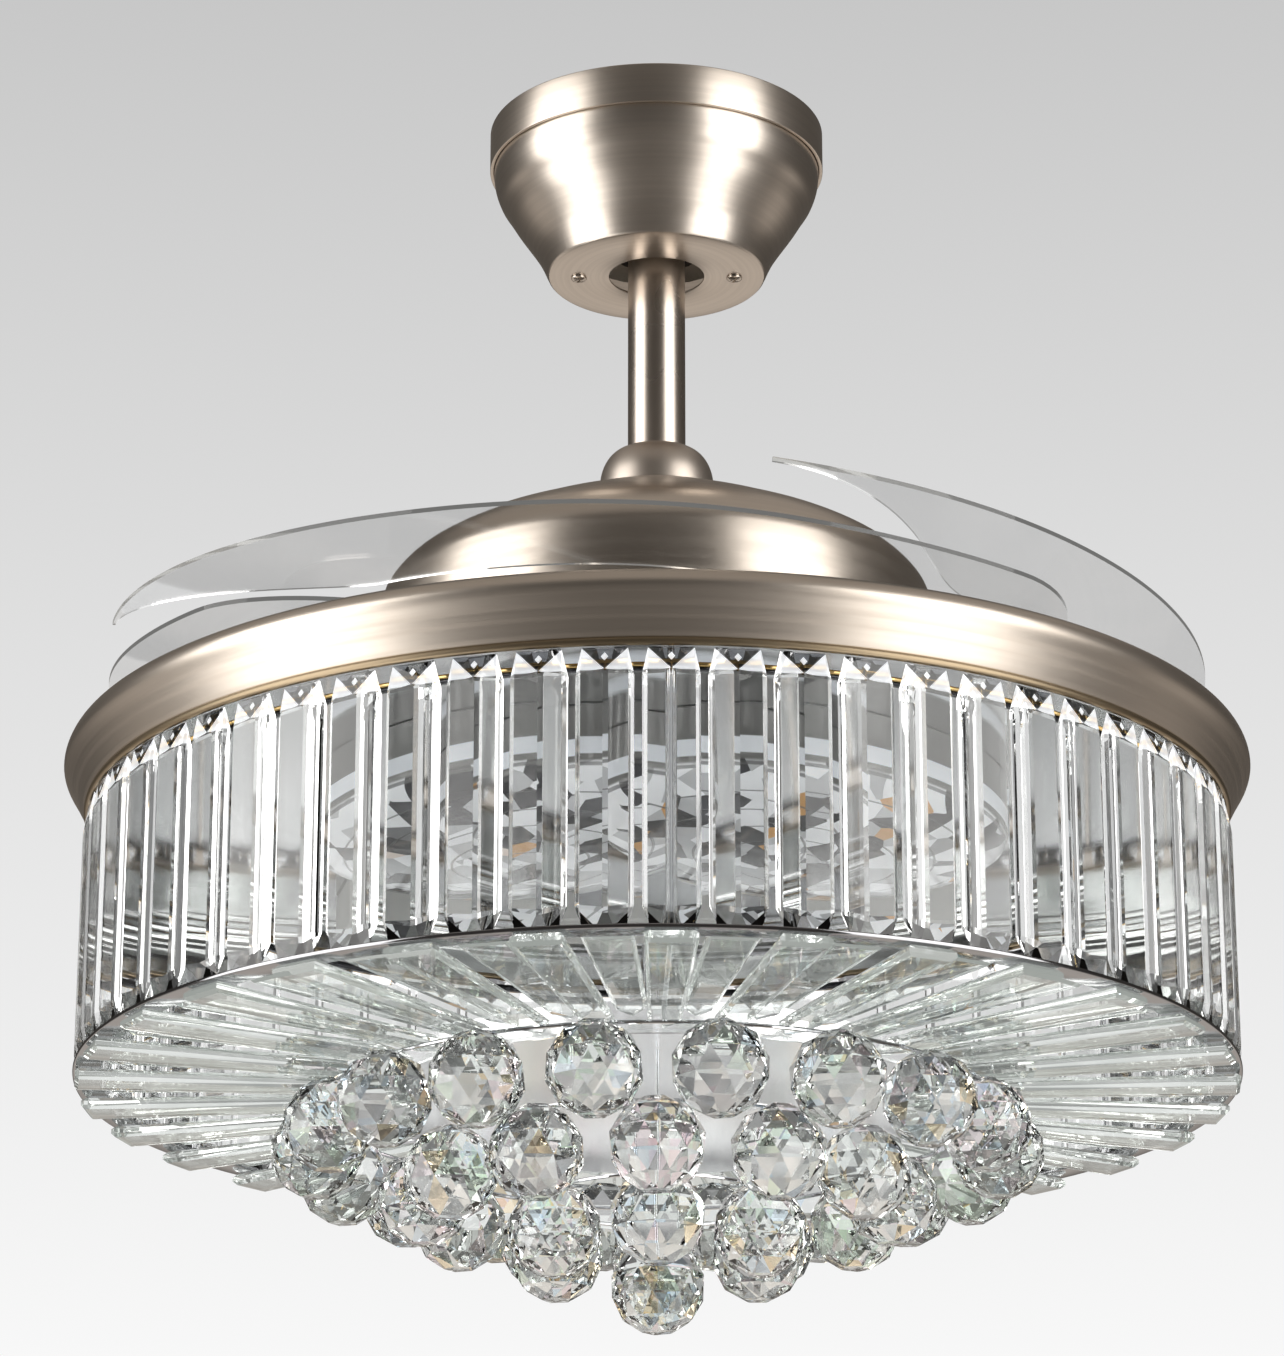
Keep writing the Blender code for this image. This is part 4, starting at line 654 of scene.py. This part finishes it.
BLACK_PLASTIC = moulded("Black moulded plastic", (0.018, 0.019, 0.024), 0.32)
BALL_PLASTIC = moulded("Dark blue ball plastic", (0.012, 0.016, 0.030), 0.22, 0.05)
WHITE_PLASTIC = moulded("White moulded plastic", (0.78, 0.78, 0.76), 0.42)
MILKY = milky_cover("Milky light cover")
LIGHT_BOARD = light_board("Light board")
CRYSTAL = cut_crystal("Cut crystal prisms", (0.985, 0.99, 0.988), (0.94, 0.955, 0.95), 1.54, -0.3484)
CRYSTAL_BARS = cut_crystal("Cut crystal bars", (0.85, 0.87, 0.855), (0.72, 0.75, 0.73), 1.52)
lift_shade(CRYSTAL_BARS, (0.036, 0.038, 0.036))
CRYSTAL_BALLS = cut_crystal("Cut crystal balls", (0.96, 0.975, 0.965), (0.88, 0.91, 0.89), 1.56)
add_painted_fire(CRYSTAL_BALLS)
lift_shade(BRIGHT_PLATE, (0.16, 0.16, 0.165))
CLEAR_SHEET = clear_sheet("Clear blade plastic")

# What each CAD node inside is made of, by the start of its name
CAD_LOOKS = (
    (ZINC, ("ceiling_bracket", "hanger_pin", "rod_coupler", "coupler_", "shaft_nut", "blade_carrier",
            "gear_retainer", "pivot_pin")),
    (ALUMINIUM, ("motor_shaft", "rotor_", "led_heat_sink")),
    (WHITE_PLASTIC, ("receiver_box", "terminal_block", "led_driver")),
    (BLACK_PLASTIC, ("sync_gear", "blade_hub")),
    (CHROME, ("bearing_",)), (COPPER, ("stator_winding",)), (CORE_STEEL, ("stator_core",)),
    (MAGNET, ("magnet_ring",)), (NYLON, ("ball_liner",)), (SPRING_STEEL, ("return_spring",)),
    (LIGHT_BOARD, ("led_board",)))


def dress_cad_nodes():
    for name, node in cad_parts.items():
        for material, starts in CAD_LOOKS:
            if name.startswith(starts):
                node.data.materials.clear()
                node.data.materials.append(material)


def start_tree(name, numbers, counts):
    """A geometry nodes tree that takes a geometry, a finish and the numbers and counts named."""
    tree = bpy.data.node_groups.new(name, "GeometryNodeTree")
    for kind, titles in (("Geometry", ["Geometry"]), ("Float", numbers), ("Int", counts),
                         ("Material", ["Finish"])):
        for title in titles:
            tree.interface.new_socket(name=title, in_out="INPUT", socket_type="NodeSocket" + kind)
    tree.interface.new_socket(name="Geometry", in_out="OUTPUT", socket_type="NodeSocketGeometry")
    sums = Sums(tree)
    return tree, sums, sums.node("NodeGroupInput").outputs


def end_tree(sums, geometry, finish):
    dressed = sums.node("GeometryNodeSetMaterial", {"Geometry": geometry, "Material": finish}).outputs[0]
    sums.feed(sums.node("NodeGroupOutput").inputs[0], dressed)


def on_circle(sums, radius, angle, height):
    return sums.vector(sums.times(radius, sums.do("COSINE", angle)),
                       sums.times(radius, sums.do("SINE", angle)), height)


def copies_tree():
    """Copies of one piece set evenly round the axis, each turned by chance within the twist."""
    tree, sums, given = start_tree("Copies round the axis", ["Radius", "Height", "First angle", "Twist"],
                                   ["Count", "Seed"])
    step = sums.do("DIVIDE", TURN, given["Count"])
    index = sums.node("GeometryNodeInputIndex").outputs[0]
    angle = sums.plus(given["First angle"], sums.times(index, step))
    place = on_circle(sums, given["Radius"], angle, given["Height"])
    points = sums.node("GeometryNodePoints", {"Count": given["Count"], "Position": place}).outputs[0]
    seed = sums.plus(given["Seed"], 3)
    chance = sums.node("FunctionNodeRandomValue", {2: sums.times(given["Twist"], -1.0), 3: given["Twist"],
                                                   "Seed": seed}, data_type="FLOAT").outputs[1]
    turn = sums.vector(0.0, 0.0, sums.plus(angle, chance))
    spin = sums.node("FunctionNodeEulerToRotation", {0: turn}).outputs[0]
    copies = sums.node("GeometryNodeInstanceOnPoints",
                       {"Points": points, "Instance": given["Geometry"], "Rotation": spin}).outputs[0]
    real = sums.node("GeometryNodeRealizeInstances", {0: copies}).outputs[0]
    end_tree(sums, real, given["Finish"])
    return tree


def grown(name, base_mesh, tree, values):
    """The plain mesh that a geometry nodes tree makes from a base mesh."""
    maker = placed(name, base_mesh)
    modifier = maker.modifiers.new("Grow", "NODES")
    modifier.node_group = tree
    for socket in tree.interface.items_tree:
        if socket.in_out == "INPUT" and socket.name in values:
            modifier[socket.identifier] = values[socket.name]
    made = evaluated(maker, name)
    bpy.data.meshes.remove(base_mesh)
    return made


COPIES = copies_tree()


def ring_of(name, unit, count, radius, height, first, material, twist=0.0, seed=1):
    return grown(name, unit, COPIES, {
        "Count": count, "Radius": radius, "Height": height, "First angle": first,
        "Twist": twist, "Seed": seed, "Finish": material})


def blade_tree():
    """One folded blade, a curved strip that widens, climbs and tapers."""
    tree, sums, given = start_tree("Folded blade", ["Start angle", "Thickness"],
                                   ["Steps along", "Steps across"])
    grid = sums.node("GeometryNodeMeshGrid", {
        "Size X": 1.0, "Size Y": 1.0, "Vertices X": given["Steps along"],
        "Vertices Y": given["Steps across"]}).outputs["Mesh"]
    spot = sums.split(sums.node("GeometryNodeInputPosition").outputs[0])
    turn = sums.ramp(spot[0], -0.5, 0.5, -8 * DEGREE, BLADE_TURN, "LINEAR")
    across = sums.plus(spot[1], 0.5)
    outer = sums.ramp(turn, 0.0, 48 * DEGREE, 0.116, BLADE_RADIUS)
    inner = sums.ramp(turn, 0.0, 60 * DEGREE, 0.084, 0.172)
    taper = sums.ramp(turn, BLADE_TURN, 127 * DEGREE)
    full = sums.minus(sums.minus(outer, inner), BLADE_TIP_WIDTH)
    width = sums.plus(BLADE_TIP_WIDTH, sums.times(full, taper))
    radius = sums.minus(outer, sums.times(width, sums.minus(1.0, across)))
    way_along = sums.ramp(turn, 25 * DEGREE, BLADE_TURN, kind="LINEAR")
    rise = sums.node("ShaderNodeFloatCurve", {"Value": way_along})
    for share, part in ((0.214, 0.165), (0.429, 0.425), (0.643, 0.585), (0.821, 0.775)):
        rise.mapping.curves[0].points.new(share, part)
    climb = sums.times(rise.outputs[0], BLADE_CLIMB)
    height = sums.plus(climb, sums.minus(BLADE_LEVEL, sums.times(given["Thickness"], 0.5)))
    angle = sums.minus(given["Start angle"], turn)
    place = on_circle(sums, radius, angle, height)
    under = sums.node("GeometryNodeSetPosition", {"Geometry": grid, "Position": place}).outputs[0]
    raised = sums.node("GeometryNodeExtrudeMesh", {
        "Mesh": under, "Offset": (0.0, 0.0, 1.0), "Offset Scale": given["Thickness"],
        "Individual": False}, mode="FACES").outputs[0]
    flipped = sums.node("GeometryNodeFlipFaces", {"Mesh": under}).outputs[0]
    both = sums.node("GeometryNodeJoinGeometry")
    tree.links.new(raised, both.inputs[0])
    tree.links.new(flipped, both.inputs[0])
    sealed = sums.node("GeometryNodeMergeByDistance", {"Geometry": both.outputs[0], "Distance": 0.00001})
    end_tree(sums, sealed.outputs[0], given["Finish"])
    return tree


def shell(line, wall):
    """A closed outline for a turned sheet: the line, then its inside back again."""
    return [*line, *reversed(inset(line, wall))]


def make_canopy():
    line = smooth_line(CANOPY_WALL, 5)
    line += [(0.0490, -0.0710), (0.0482, -0.0712), (0.0224, -0.0712), (0.0218, -0.0709)]
    inside = [(0.0217, -0.0703), (0.0222, -0.0700), (0.0480, -0.0700)]
    inside += list(reversed(inset(smooth_line(CANOPY_WALL, 5)[:-2], 0.0012)))
    piece("canopy_shell", turned("canopy_shell", [*line, *inside]), NICKEL_CANOPY, "ceiling_mount",
          ["canopy_cup"])
    band = rounded([(0.0748, -0.0006), (0.0765, -0.0006), (0.0765, -0.0195), (0.0748, -0.0195)], 0.0005)
    piece("canopy_band", turned("canopy_band", band), NICKEL_FINE, "ceiling_mount",
          ["canopy_trim_ring"])
    for number, side in ((1, 1), (2, -1)):
        make_screw(number, (side * 0.0355, 0, -0.0713))


def make_screw(number, place):
    """A pan head screw with a cross cut into it, its head down."""
    head = smooth_line([(0.0, -0.0018), (0.0014, -0.0017), (0.0027, -0.0013), (0.0035, -0.0007),
                        (0.0036, 0.0)], 3)
    stem = [(0.0017, 0.0), (0.0017, 0.0080), (0.0009, 0.0090), (0.0, 0.0090)]
    solid = turned(f"canopy_screw_{number}_body", [*head, *stem], 40, closed=False)
    slots = []
    for turn in (0.4, 0.4 + math.pi / 2):
        points = [Matrix.Rotation(turn, 3, "Z") @ Vector((x, y, z))
                  for x in (-0.0021, 0.0021) for y in (-0.00035, 0.00035) for z in (-0.004, -0.0009)]
        slots.append(hull("screw_slot", points))
    mesh = cut_away(solid, slots)
    mesh.transform(Matrix.Translation(place))
    mesh.shade_smooth()
    mesh.set_sharp_from_angle(angle=math.radians(28))
    piece(f"canopy_pan_screw_{number}", mesh, SCREW_NICKEL, "ceiling_mount",
          [f"canopy_screw_{number}"])


def make_rod():
    arc = [(0.0235 * math.cos(angle), -0.042 + 0.0235 * math.sin(angle))
           for angle in (math.radians(-51.9 + (44.6 + 51.9) * step / 24) for step in range(25))]
    piece("ball_body", turned("ball_body", [*arc, (0.0134, -0.0256), (0.0134, -0.0604)], 128),
          BALL_PLASTIC, "pendant", ["hanger_ball"])
    tube_wall = rounded([(0.0115, -0.187), (0.013, -0.187), (0.013, -0.0187), (0.0115, -0.0187)], 0.0003)
    piece("rod_tube", turned("rod_tube", tube_wall, 128), NICKEL_ROD, "pendant", ["down_rod"])
    arc = [(0.0148 + 0.0108 * math.sin(angle), -0.1745 + 0.0165 * math.cos(angle))
           for angle in (math.pi / 2 * step / 20 for step in range(21))]
    line = [(0.0133, -0.158), *arc, (0.0256, -0.1782), (0.0253, -0.1789)]
    back = [(0.0245, -0.1788), (0.0244, -0.1745)]
    back += [(0.0142 + 0.0102 * math.sin(angle), -0.1745 + 0.0153 * math.cos(angle))
             for angle in (math.pi / 2 * (1 - step / 12) for step in range(1, 12))]
    back.append((0.0133, -0.1592))
    piece("coupling_bell", turned("coupling_bell", [*line, *back], 128), NICKEL_BELL, "pendant",
          ["coupling_cover"])


def make_motor_dome():
    line = smooth_line(COVER_WALL, 5)
    line = [(0.0216, -0.1801), *line, (0.1226, -0.2600), (0.1222, -0.2614), (0.1216, -0.2620)]
    piece("motor_dome", turned("motor_dome", shell(line, 0.0014)), NICKEL_DOME, "rotor",
          ["motor_cover"])


def make_tray():
    line = smooth_line(TRAY_WALL, 4)
    bead = [(0.2484 + 0.0016 * math.cos(angle), -0.3362 + 0.0018 * math.sin(angle))
            for angle in (math.radians(50 - 220 * step / 14) for step in range(15))]
    outline = [(0.0103, -0.3075), *line, *bead, *reversed(inset(line, 0.0014)), (0.0103, -0.3089)]
    piece("tray_ring", turned("tray_ring", outline, 256), TRAY_NICKEL, "pendant", ["lamp_tray"])


def make_light():
    outer = [(0.0980, TRAY_UNDERSIDE), (0.0980, -0.3230), *smooth_line(LIGHT_COVER_WALL, 4)]
    inner = inset(outer, 0.0017)
    inner[-1] = (0.0, inner[-1][1])
    piece("light_cover", turned("light_cover", [*outer, *reversed(inner)][::-1], 160, closed=False),
          MILKY, "pendant", ["led_diffuser"])


def prism_unit():
    """One upright prism: flat face outwards, slanted back, cut caps at both ends."""
    face, side, deep = 0.0094, 0.0114, 0.0040
    top, bottom = -0.3386, -0.4506
    section = [(deep, -face), (deep, face), (0.0022, side), (0.0004, side), (-deep, 0.0011),
               (-deep, -0.0011), (0.0004, -side), (0.0022, -side)]
    points = []
    for height, end, lift in ((top - 0.0092, top, 0.0020), (bottom + 0.0062, bottom, -0.0012)):
        points += [(x, y, height - lift * abs(y) / side) for x, y in section]
        points += [(deep, 0.0, height)]
        points += [(0.0022, -0.0090, end), (0.0022, 0.0090, end),
                   (-0.0018, 0.0034, end), (-0.0018, -0.0034, end)]
    return hull("prism_unit", points)


def hook_unit():
    """A small brass hook over the wire, with the pin that goes into a prism."""
    line = [(-0.0043, 0, -0.3462), (-0.0042, 0, -0.3432), (-0.0032, 0, -0.3421), (-0.0019, 0, -0.3428),
            (-0.0012, 0, -0.3445), (-0.0004, 0, -0.3462), (0.0004, 0, -0.3476)]
    return tube("hook_unit", [Vector(point) for point in line], 0.0005, 8)


def make_curtain():
    prisms = ring_of("prisms", prism_unit(), PRISM_COUNT, PRISM_RADIUS, 0.0, FIRST_ANGLE,
                     CRYSTAL, 0.010, 4)
    piece("prism_ring", prisms, None, "pendant", ["prism_curtain"])


def make_frame_wires():
    hoop = turned("frame_hoop", rounded([(0.2376, -0.3455), (0.2414, -0.3455), (0.2414, -0.3426),
                                         (0.2376, -0.3426)], 0.0008), 180)
    wire = tube("curtain_wire", circle_line(0.2434, -0.3440, 180), 0.0009, 8, closed=True)
    legs = []
    for number in range(LEG_COUNT):
        angle = FIRST_ANGLE + TURN * number / LEG_COUNT
        leg = [polar(LEG_RADIUS, angle, height) for height in (TRAY_UNDERSIDE, -0.4506)]
        spoke = [polar(radius, angle, -0.4463) for radius in (0.1137, 0.2392)]
        legs += [tube("leg", leg, 0.00145, 12), tube("spoke", spoke, 0.0011, 10)]
        foot = [(0.0, -0.4486), (0.0021, -0.4486), (0.0021, -0.4476), (0.0015, -0.4440), (0.0, -0.4436)]
        ferrule = turned("ferrule", foot, 20, closed=False)
        ferrule.transform(Matrix.Translation(polar(LEG_RADIUS, angle)))
        legs.append(ferrule)
    hooks = ring_of("hooks", hook_unit(), PRISM_COUNT, PRISM_RADIUS, 0.0, FIRST_ANGLE, BRASS)
    piece("prism_hooks", joined("prism_hooks", [wire, hooks]), BRASS, "pendant",
          ["crystal_frame"])
    piece("frame_legs", joined("frame_legs", legs), CHROME, "pendant", [])
    piece("frame_hoop", hoop, BLACK_NICKEL, "pendant", [])


def bar_unit(start, end):
    """A flat crystal bar lying along X, wider at its outer end, bevelled, with a pointed inner end."""
    root, tip, bevel, thick = 0.0069, 0.0106, 0.0016, 0.0025
    points = []
    for cut, height in ((0.0, 0.0009), (0.0, -0.0009), (bevel, thick), (bevel, -thick)):
        points += [(start + 0.0112 + cut, side * (root - cut), height) for side in (-1, 1)]
        points += [(end - cut, side * (tip - cut), height) for side in (-1, 1)]
        points.append((start + 0.0006 + 1.6 * cut, 0.0, height))
    return hull("bar_unit", points)


def make_floor():
    for layer, end, level, shift in (("upper", 0.2362, -0.4505, 0.5), ("lower", 0.2493, -0.4558, 0.0)):
        bars = ring_of(f"{layer}_bars", bar_unit(BAR_START, end), BAR_COUNT, 0.0, level,
                       FIRST_ANGLE + shift * TURN / BAR_COUNT, CRYSTAL_BARS)
        piece(f"{layer}_bar_ring", bars, None, "pendant", [f"{layer}_floor_bars"])
    hoop = rounded([(0.2381, -0.4529), (0.2504, -0.4529), (0.2504, -0.4511), (0.2381, -0.4511)], 0.0007)
    piece("base_hoop", turned("base_hoop", hoop, 256), DARK_CHROME, "pendant", ["base_ring"])


def make_plate():
    outline = [(0.0, -0.4587), (0.1105, -0.4587), (0.1108, -0.4584), (0.1108, -0.4440), (0.1112, -0.4437),
               (0.1128, -0.4437), (0.1131, -0.4440), (0.1131, -0.4583), (0.1135, -0.4587),
               (0.1226, -0.4587), (0.1230, -0.4591), (0.1230, -0.4602), (0.1226, -0.4606), (0.0, -0.4606)]
    plate = turned("plate_disc", outline, 180, closed=False)
    arms = []
    for number in range(PLATE_ARM_COUNT):
        arm = hull("plate_arm", [(x, y, z) for x in (0.1215, 0.1478) for y in (-0.0019, 0.0019)
                                 for z in (-0.4603, -0.4590)])
        arm.transform(Matrix.Rotation(TURN * (number / PLATE_ARM_COUNT - 0.25), 4, "Z"))
        arms.append(arm)
    piece("plate_disc", joined("plate_disc", [plate, *arms]), BRIGHT_PLATE, "pendant",
          ["ball_plate"])


def ball_unit():
    """A cut ball: staggered rows of corners, a flat table at each pole."""
    radius = 0.0204
    points = []
    for degrees, count, shift in ((71, 5, 0.0), (43.5, 10, 0.5), (14.5, 10, 0.0), (-14.5, 10, 0.5),
                                  (-43.5, 10, 0.0), (-71, 5, 0.5)):
        latitude = math.radians(degrees)
        points += [polar(radius * math.cos(latitude), TURN * (number + shift) / count,
                         radius * math.sin(latitude)) for number in range(count)]
    return hull("ball_unit", points)


def ball_fitting(wire_rise):
    """The eye and pin on a ball's top."""
    stem = [(0.0, 0.0185), (0.0022, 0.0185), (0.0024, 0.0194), (0.0017, 0.0201), (0.0007, 0.0203),
            (0.0006, wire_rise), (0.0, wire_rise)]
    return turned("ball_fitting", stem, 16, closed=False)


def make_balls():
    tiers = ((0.1460, 18, -0.4805, -80), (0.0998, 12, -0.5010, -90), (0.0500, 6, -0.5200, -90),
             (0.0, 1, -0.5390, 0))
    for index, (radius, count, level, degrees) in enumerate(tiers):
        first = math.radians(degrees)
        balls = ring_of(f"balls_{index + 1}", ball_unit(), count, radius, level, first, CRYSTAL_BALLS,
                        0.5, 10 + index)
        piece(f"crystal_balls_{index + 1}", balls, None, "pendant", [f"ball_tier_{index + 1}"])
        wire_level = -0.4619 if index == 0 else level + 0.0186
        fittings = ring_of("fittings", ball_fitting(0.0204), count, radius, level, first, CHROME)
        metal = [fittings]
        if radius:
            metal.append(tube("tier_wire", circle_line(radius, wire_level, 120), 0.0009, 8, closed=True))
        if index:
            pins = 3 if radius else 1
            for pin in range(pins):
                angle = first + TURN * pin / pins
                ends = [polar(radius, angle, height) for height in (-0.4610, level + 0.0190)]
                metal.append(tube("tier_pin", ends, 0.00085, 10))
        name = f"ball_wires_{index + 1}"
        piece(name, joined(name, metal), CHROME, "pendant", [])


def make_blades():
    tree = blade_tree()
    for number in range(BLADE_COUNT):
        angle = PIVOT_ANGLE + TURN * number / BLADE_COUNT
        seed = bpy.data.meshes.new("blade_seed")
        mesh = grown(f"blade_sheet_{number + 1}", seed, tree, {
            "Start angle": angle, "Thickness": BLADE_THICKNESS, "Steps along": 121, "Steps across": 9,
            "Finish": CLEAR_SHEET})
        hole = turned("blade_hole", [(0.0, -0.300), (0.0048, -0.300), (0.0048, -0.280), (0.0, -0.280)],
                      40, closed=False)
        hole.transform(Matrix.Translation(polar(PIVOT_RADIUS, angle)))
        mesh = cut_away(mesh, [hole])
        mesh.shade_smooth()
        mesh.set_sharp_from_angle(angle=math.radians(35))
        piece(f"clear_blade_{number + 1}", mesh, CLEAR_SHEET, f"blade_arm_{number + 1}",
              [f"blade_{number + 1}"])


def make_world():
    """Pale sweep behind the fan for the camera; a studio with dark flags in reflections."""
    world = bpy.data.worlds.new("Studio")
    bpy.context.scene.world = world
    world.use_nodes = True
    tree = world.node_tree
    tree.nodes.clear()
    sums = Sums(tree)
    way = sums.split(sums.node("ShaderNodeTexCoord").outputs["Generated"])
    rise = way[2]
    around = sums.do("ARCTAN2", way[0], sums.times(way[1], -1.0))
    off_front = sums.do("ABSOLUTE", around)

    sweep = sums.ramp(rise, 0.19, 0.46, 0.94, 0.57, "LINEAR")
    path = sums.node("ShaderNodeLightPath").outputs
    behind = sums.ramp(off_front, 95 * DEGREE, 125 * DEGREE)
    low = sums.ramp(rise, -0.05, -0.30)
    high = sums.ramp(rise, 0.62, 0.80)
    shiny = sums.plus(0.07, sums.times(low, sums.plus(0.03, sums.times(behind, 0.60))))
    shiny = sums.plus(shiny, sums.times(high, 0.30))

    # Light through the crystal: pale straight on from each side, dark between, dim above and below
    pale = sums.larger(sums.ramp(off_front, 138 * DEGREE, 146 * DEGREE, 0.0, 0.90),
                       sums.band(off_front, 90 * DEGREE, 15 * DEGREE, 6 * DEGREE))
    pale = sums.larger(pale, sums.ramp(off_front, 17 * DEGREE, 12 * DEGREE))
    level = sums.times(sums.ramp(rise, -0.40, -0.25), sums.ramp(rise, 0.58, 0.45))
    level = sums.times(level, sums.plus(0.22, sums.times(pale, 0.74)))
    through = sums.times(sweep, sums.plus(0.12, sums.times(level, 0.88)))
    single = sums.do("LESS_THAN", path["Transmission Depth"], 2.5)
    through = sums.larger(through, sums.times(single, sums.ramp(rise, -0.52, -0.70, 0.0, 0.42)))

    # A ray that leaves glass counts as glossy too, so mirror light takes only the others
    mirror = sums.times(path["Is Glossy Ray"], sums.minus(1.0, path["Is Transmission Ray"]))
    named = sums.larger(sums.larger(path["Is Camera Ray"], path["Is Glossy Ray"]),
                        path["Is Transmission Ray"])
    light = sums.times(path["Is Camera Ray"], sweep)
    light = sums.plus(light, sums.times(path["Is Transmission Ray"], through))
    light = sums.plus(light, sums.times(sums.minus(1.0, named), 0.42))
    shiny = sums.times(mirror, shiny)
    tint = [sums.plus(light, sums.times(shiny, warm)) for warm in (1.0, 0.91, 0.82)]
    shade = sums.node("ShaderNodeBackground", {"Color": sums.vector(*tint), "Strength": 1.0})
    output = sums.node("ShaderNodeOutputWorld")
    tree.links.new(shade.outputs[0], output.inputs[0])


def make_softbox(name, degrees, rise, distance, size, power):
    """A soft light aimed at the fan: its angle is counted from the camera's side, its rise from level."""
    data = bpy.data.lights.new(name, "AREA")
    data.shape = "RECTANGLE"
    data.size, data.size_y = size
    data.energy = power
    data.color = (1.0, 0.985, 0.96)
    lamp = placed(name, data)
    angle, climb = degrees * DEGREE, rise * DEGREE
    way = Vector((math.sin(angle) * math.cos(climb), -math.cos(angle) * math.cos(climb), math.sin(climb)))
    lamp.location = Vector((0, 0, LIT_LEVEL)) + way * distance
    lamp.rotation_euler = (-way).to_track_quat("-Z", "Y").to_euler()
    lamp.visible_camera = False


def make_stage():
    material, sums, shader, place = start_material("Pale floor", (0.86, 0.86, 0.86), 0.7)
    patch = sums.noise(place, 0.4, 1.0)
    paint(sums, shader, sums.mix(patch, (0.85, 0.85, 0.85), (0.88, 0.88, 0.88)))
    seen = sums.node("ShaderNodeLightPath").outputs["Is Camera Ray"]
    add_glow(sums, shader, (1.0, 1.0, 1.0), sums.times(seen, FLOOR_GLOW))
    # From below the floor is clear, so a camera under it still sees the fan
    mixed = sums.node("ShaderNodeMixShader", {
        0: sums.node("ShaderNodeNewGeometry").outputs["Backfacing"], 1: shader.outputs[0],
        2: sums.node("ShaderNodeBsdfTransparent").outputs[0]})
    sums.feed(material.node_tree.nodes["Material Output"].inputs["Surface"], mixed.outputs[0])
    disc = turned("floor", [(0.0, FLOOR_LEVEL), (30.0, FLOOR_LEVEL)], 96, closed=False)
    if disc.polygons[0].normal.z < 0:
        disc.flip_normals()
    disc.materials.append(material)
    floor = placed("floor", disc)
    floor.visible_glossy = False
    floor.visible_transmission = False
    for name, degrees, rise, distance, size, power in (
            ("Soft light left", -70, 6, 2.2, (1.70, 2.4), 42.0),
            ("Soft light right", 54, 6, 2.2, (1.60, 2.4), 40.0),
            ("Low light left", -68, -42, 2.0, (1.05, 1.4), 13.0),
            ("Low light right", 54, -42, 2.0, (0.95, 1.4), 11.0)):
        make_softbox(name, degrees, rise, distance, size, power)


def make_camera():
    data = bpy.data.cameras.new("Camera")
    data.sensor_fit = "VERTICAL"
    data.sensor_height = SENSOR
    data.lens = CAMERA_LENS
    data.clip_start = 0.01
    data.clip_end = 100
    camera = placed("Camera", data)
    camera.location = CAMERA_PLACE
    camera.rotation_euler = (CAMERA_TILT, 0, CAMERA_PAN)
    bpy.context.scene.camera = camera


def set_render():
    scene = bpy.context.scene
    scene.view_settings.view_transform = "Standard"
    scene.cycles.max_bounces = 24
    scene.cycles.transmission_bounces = 24
    scene.cycles.glossy_bounces = 8
    scene.cycles.diffuse_bounces = 3
    scene.cycles.transparent_max_bounces = 8
    scene.cycles.sample_clamp_indirect = 6.0
    scene.cycles.use_denoising = True


dress_cad_nodes()
make_canopy()
make_rod()
make_motor_dome()
make_tray()
make_light()
make_frame_wires()
make_curtain()
make_floor()
make_plate()
make_balls()
make_blades()
make_world()
make_stage()
make_camera()
set_render()
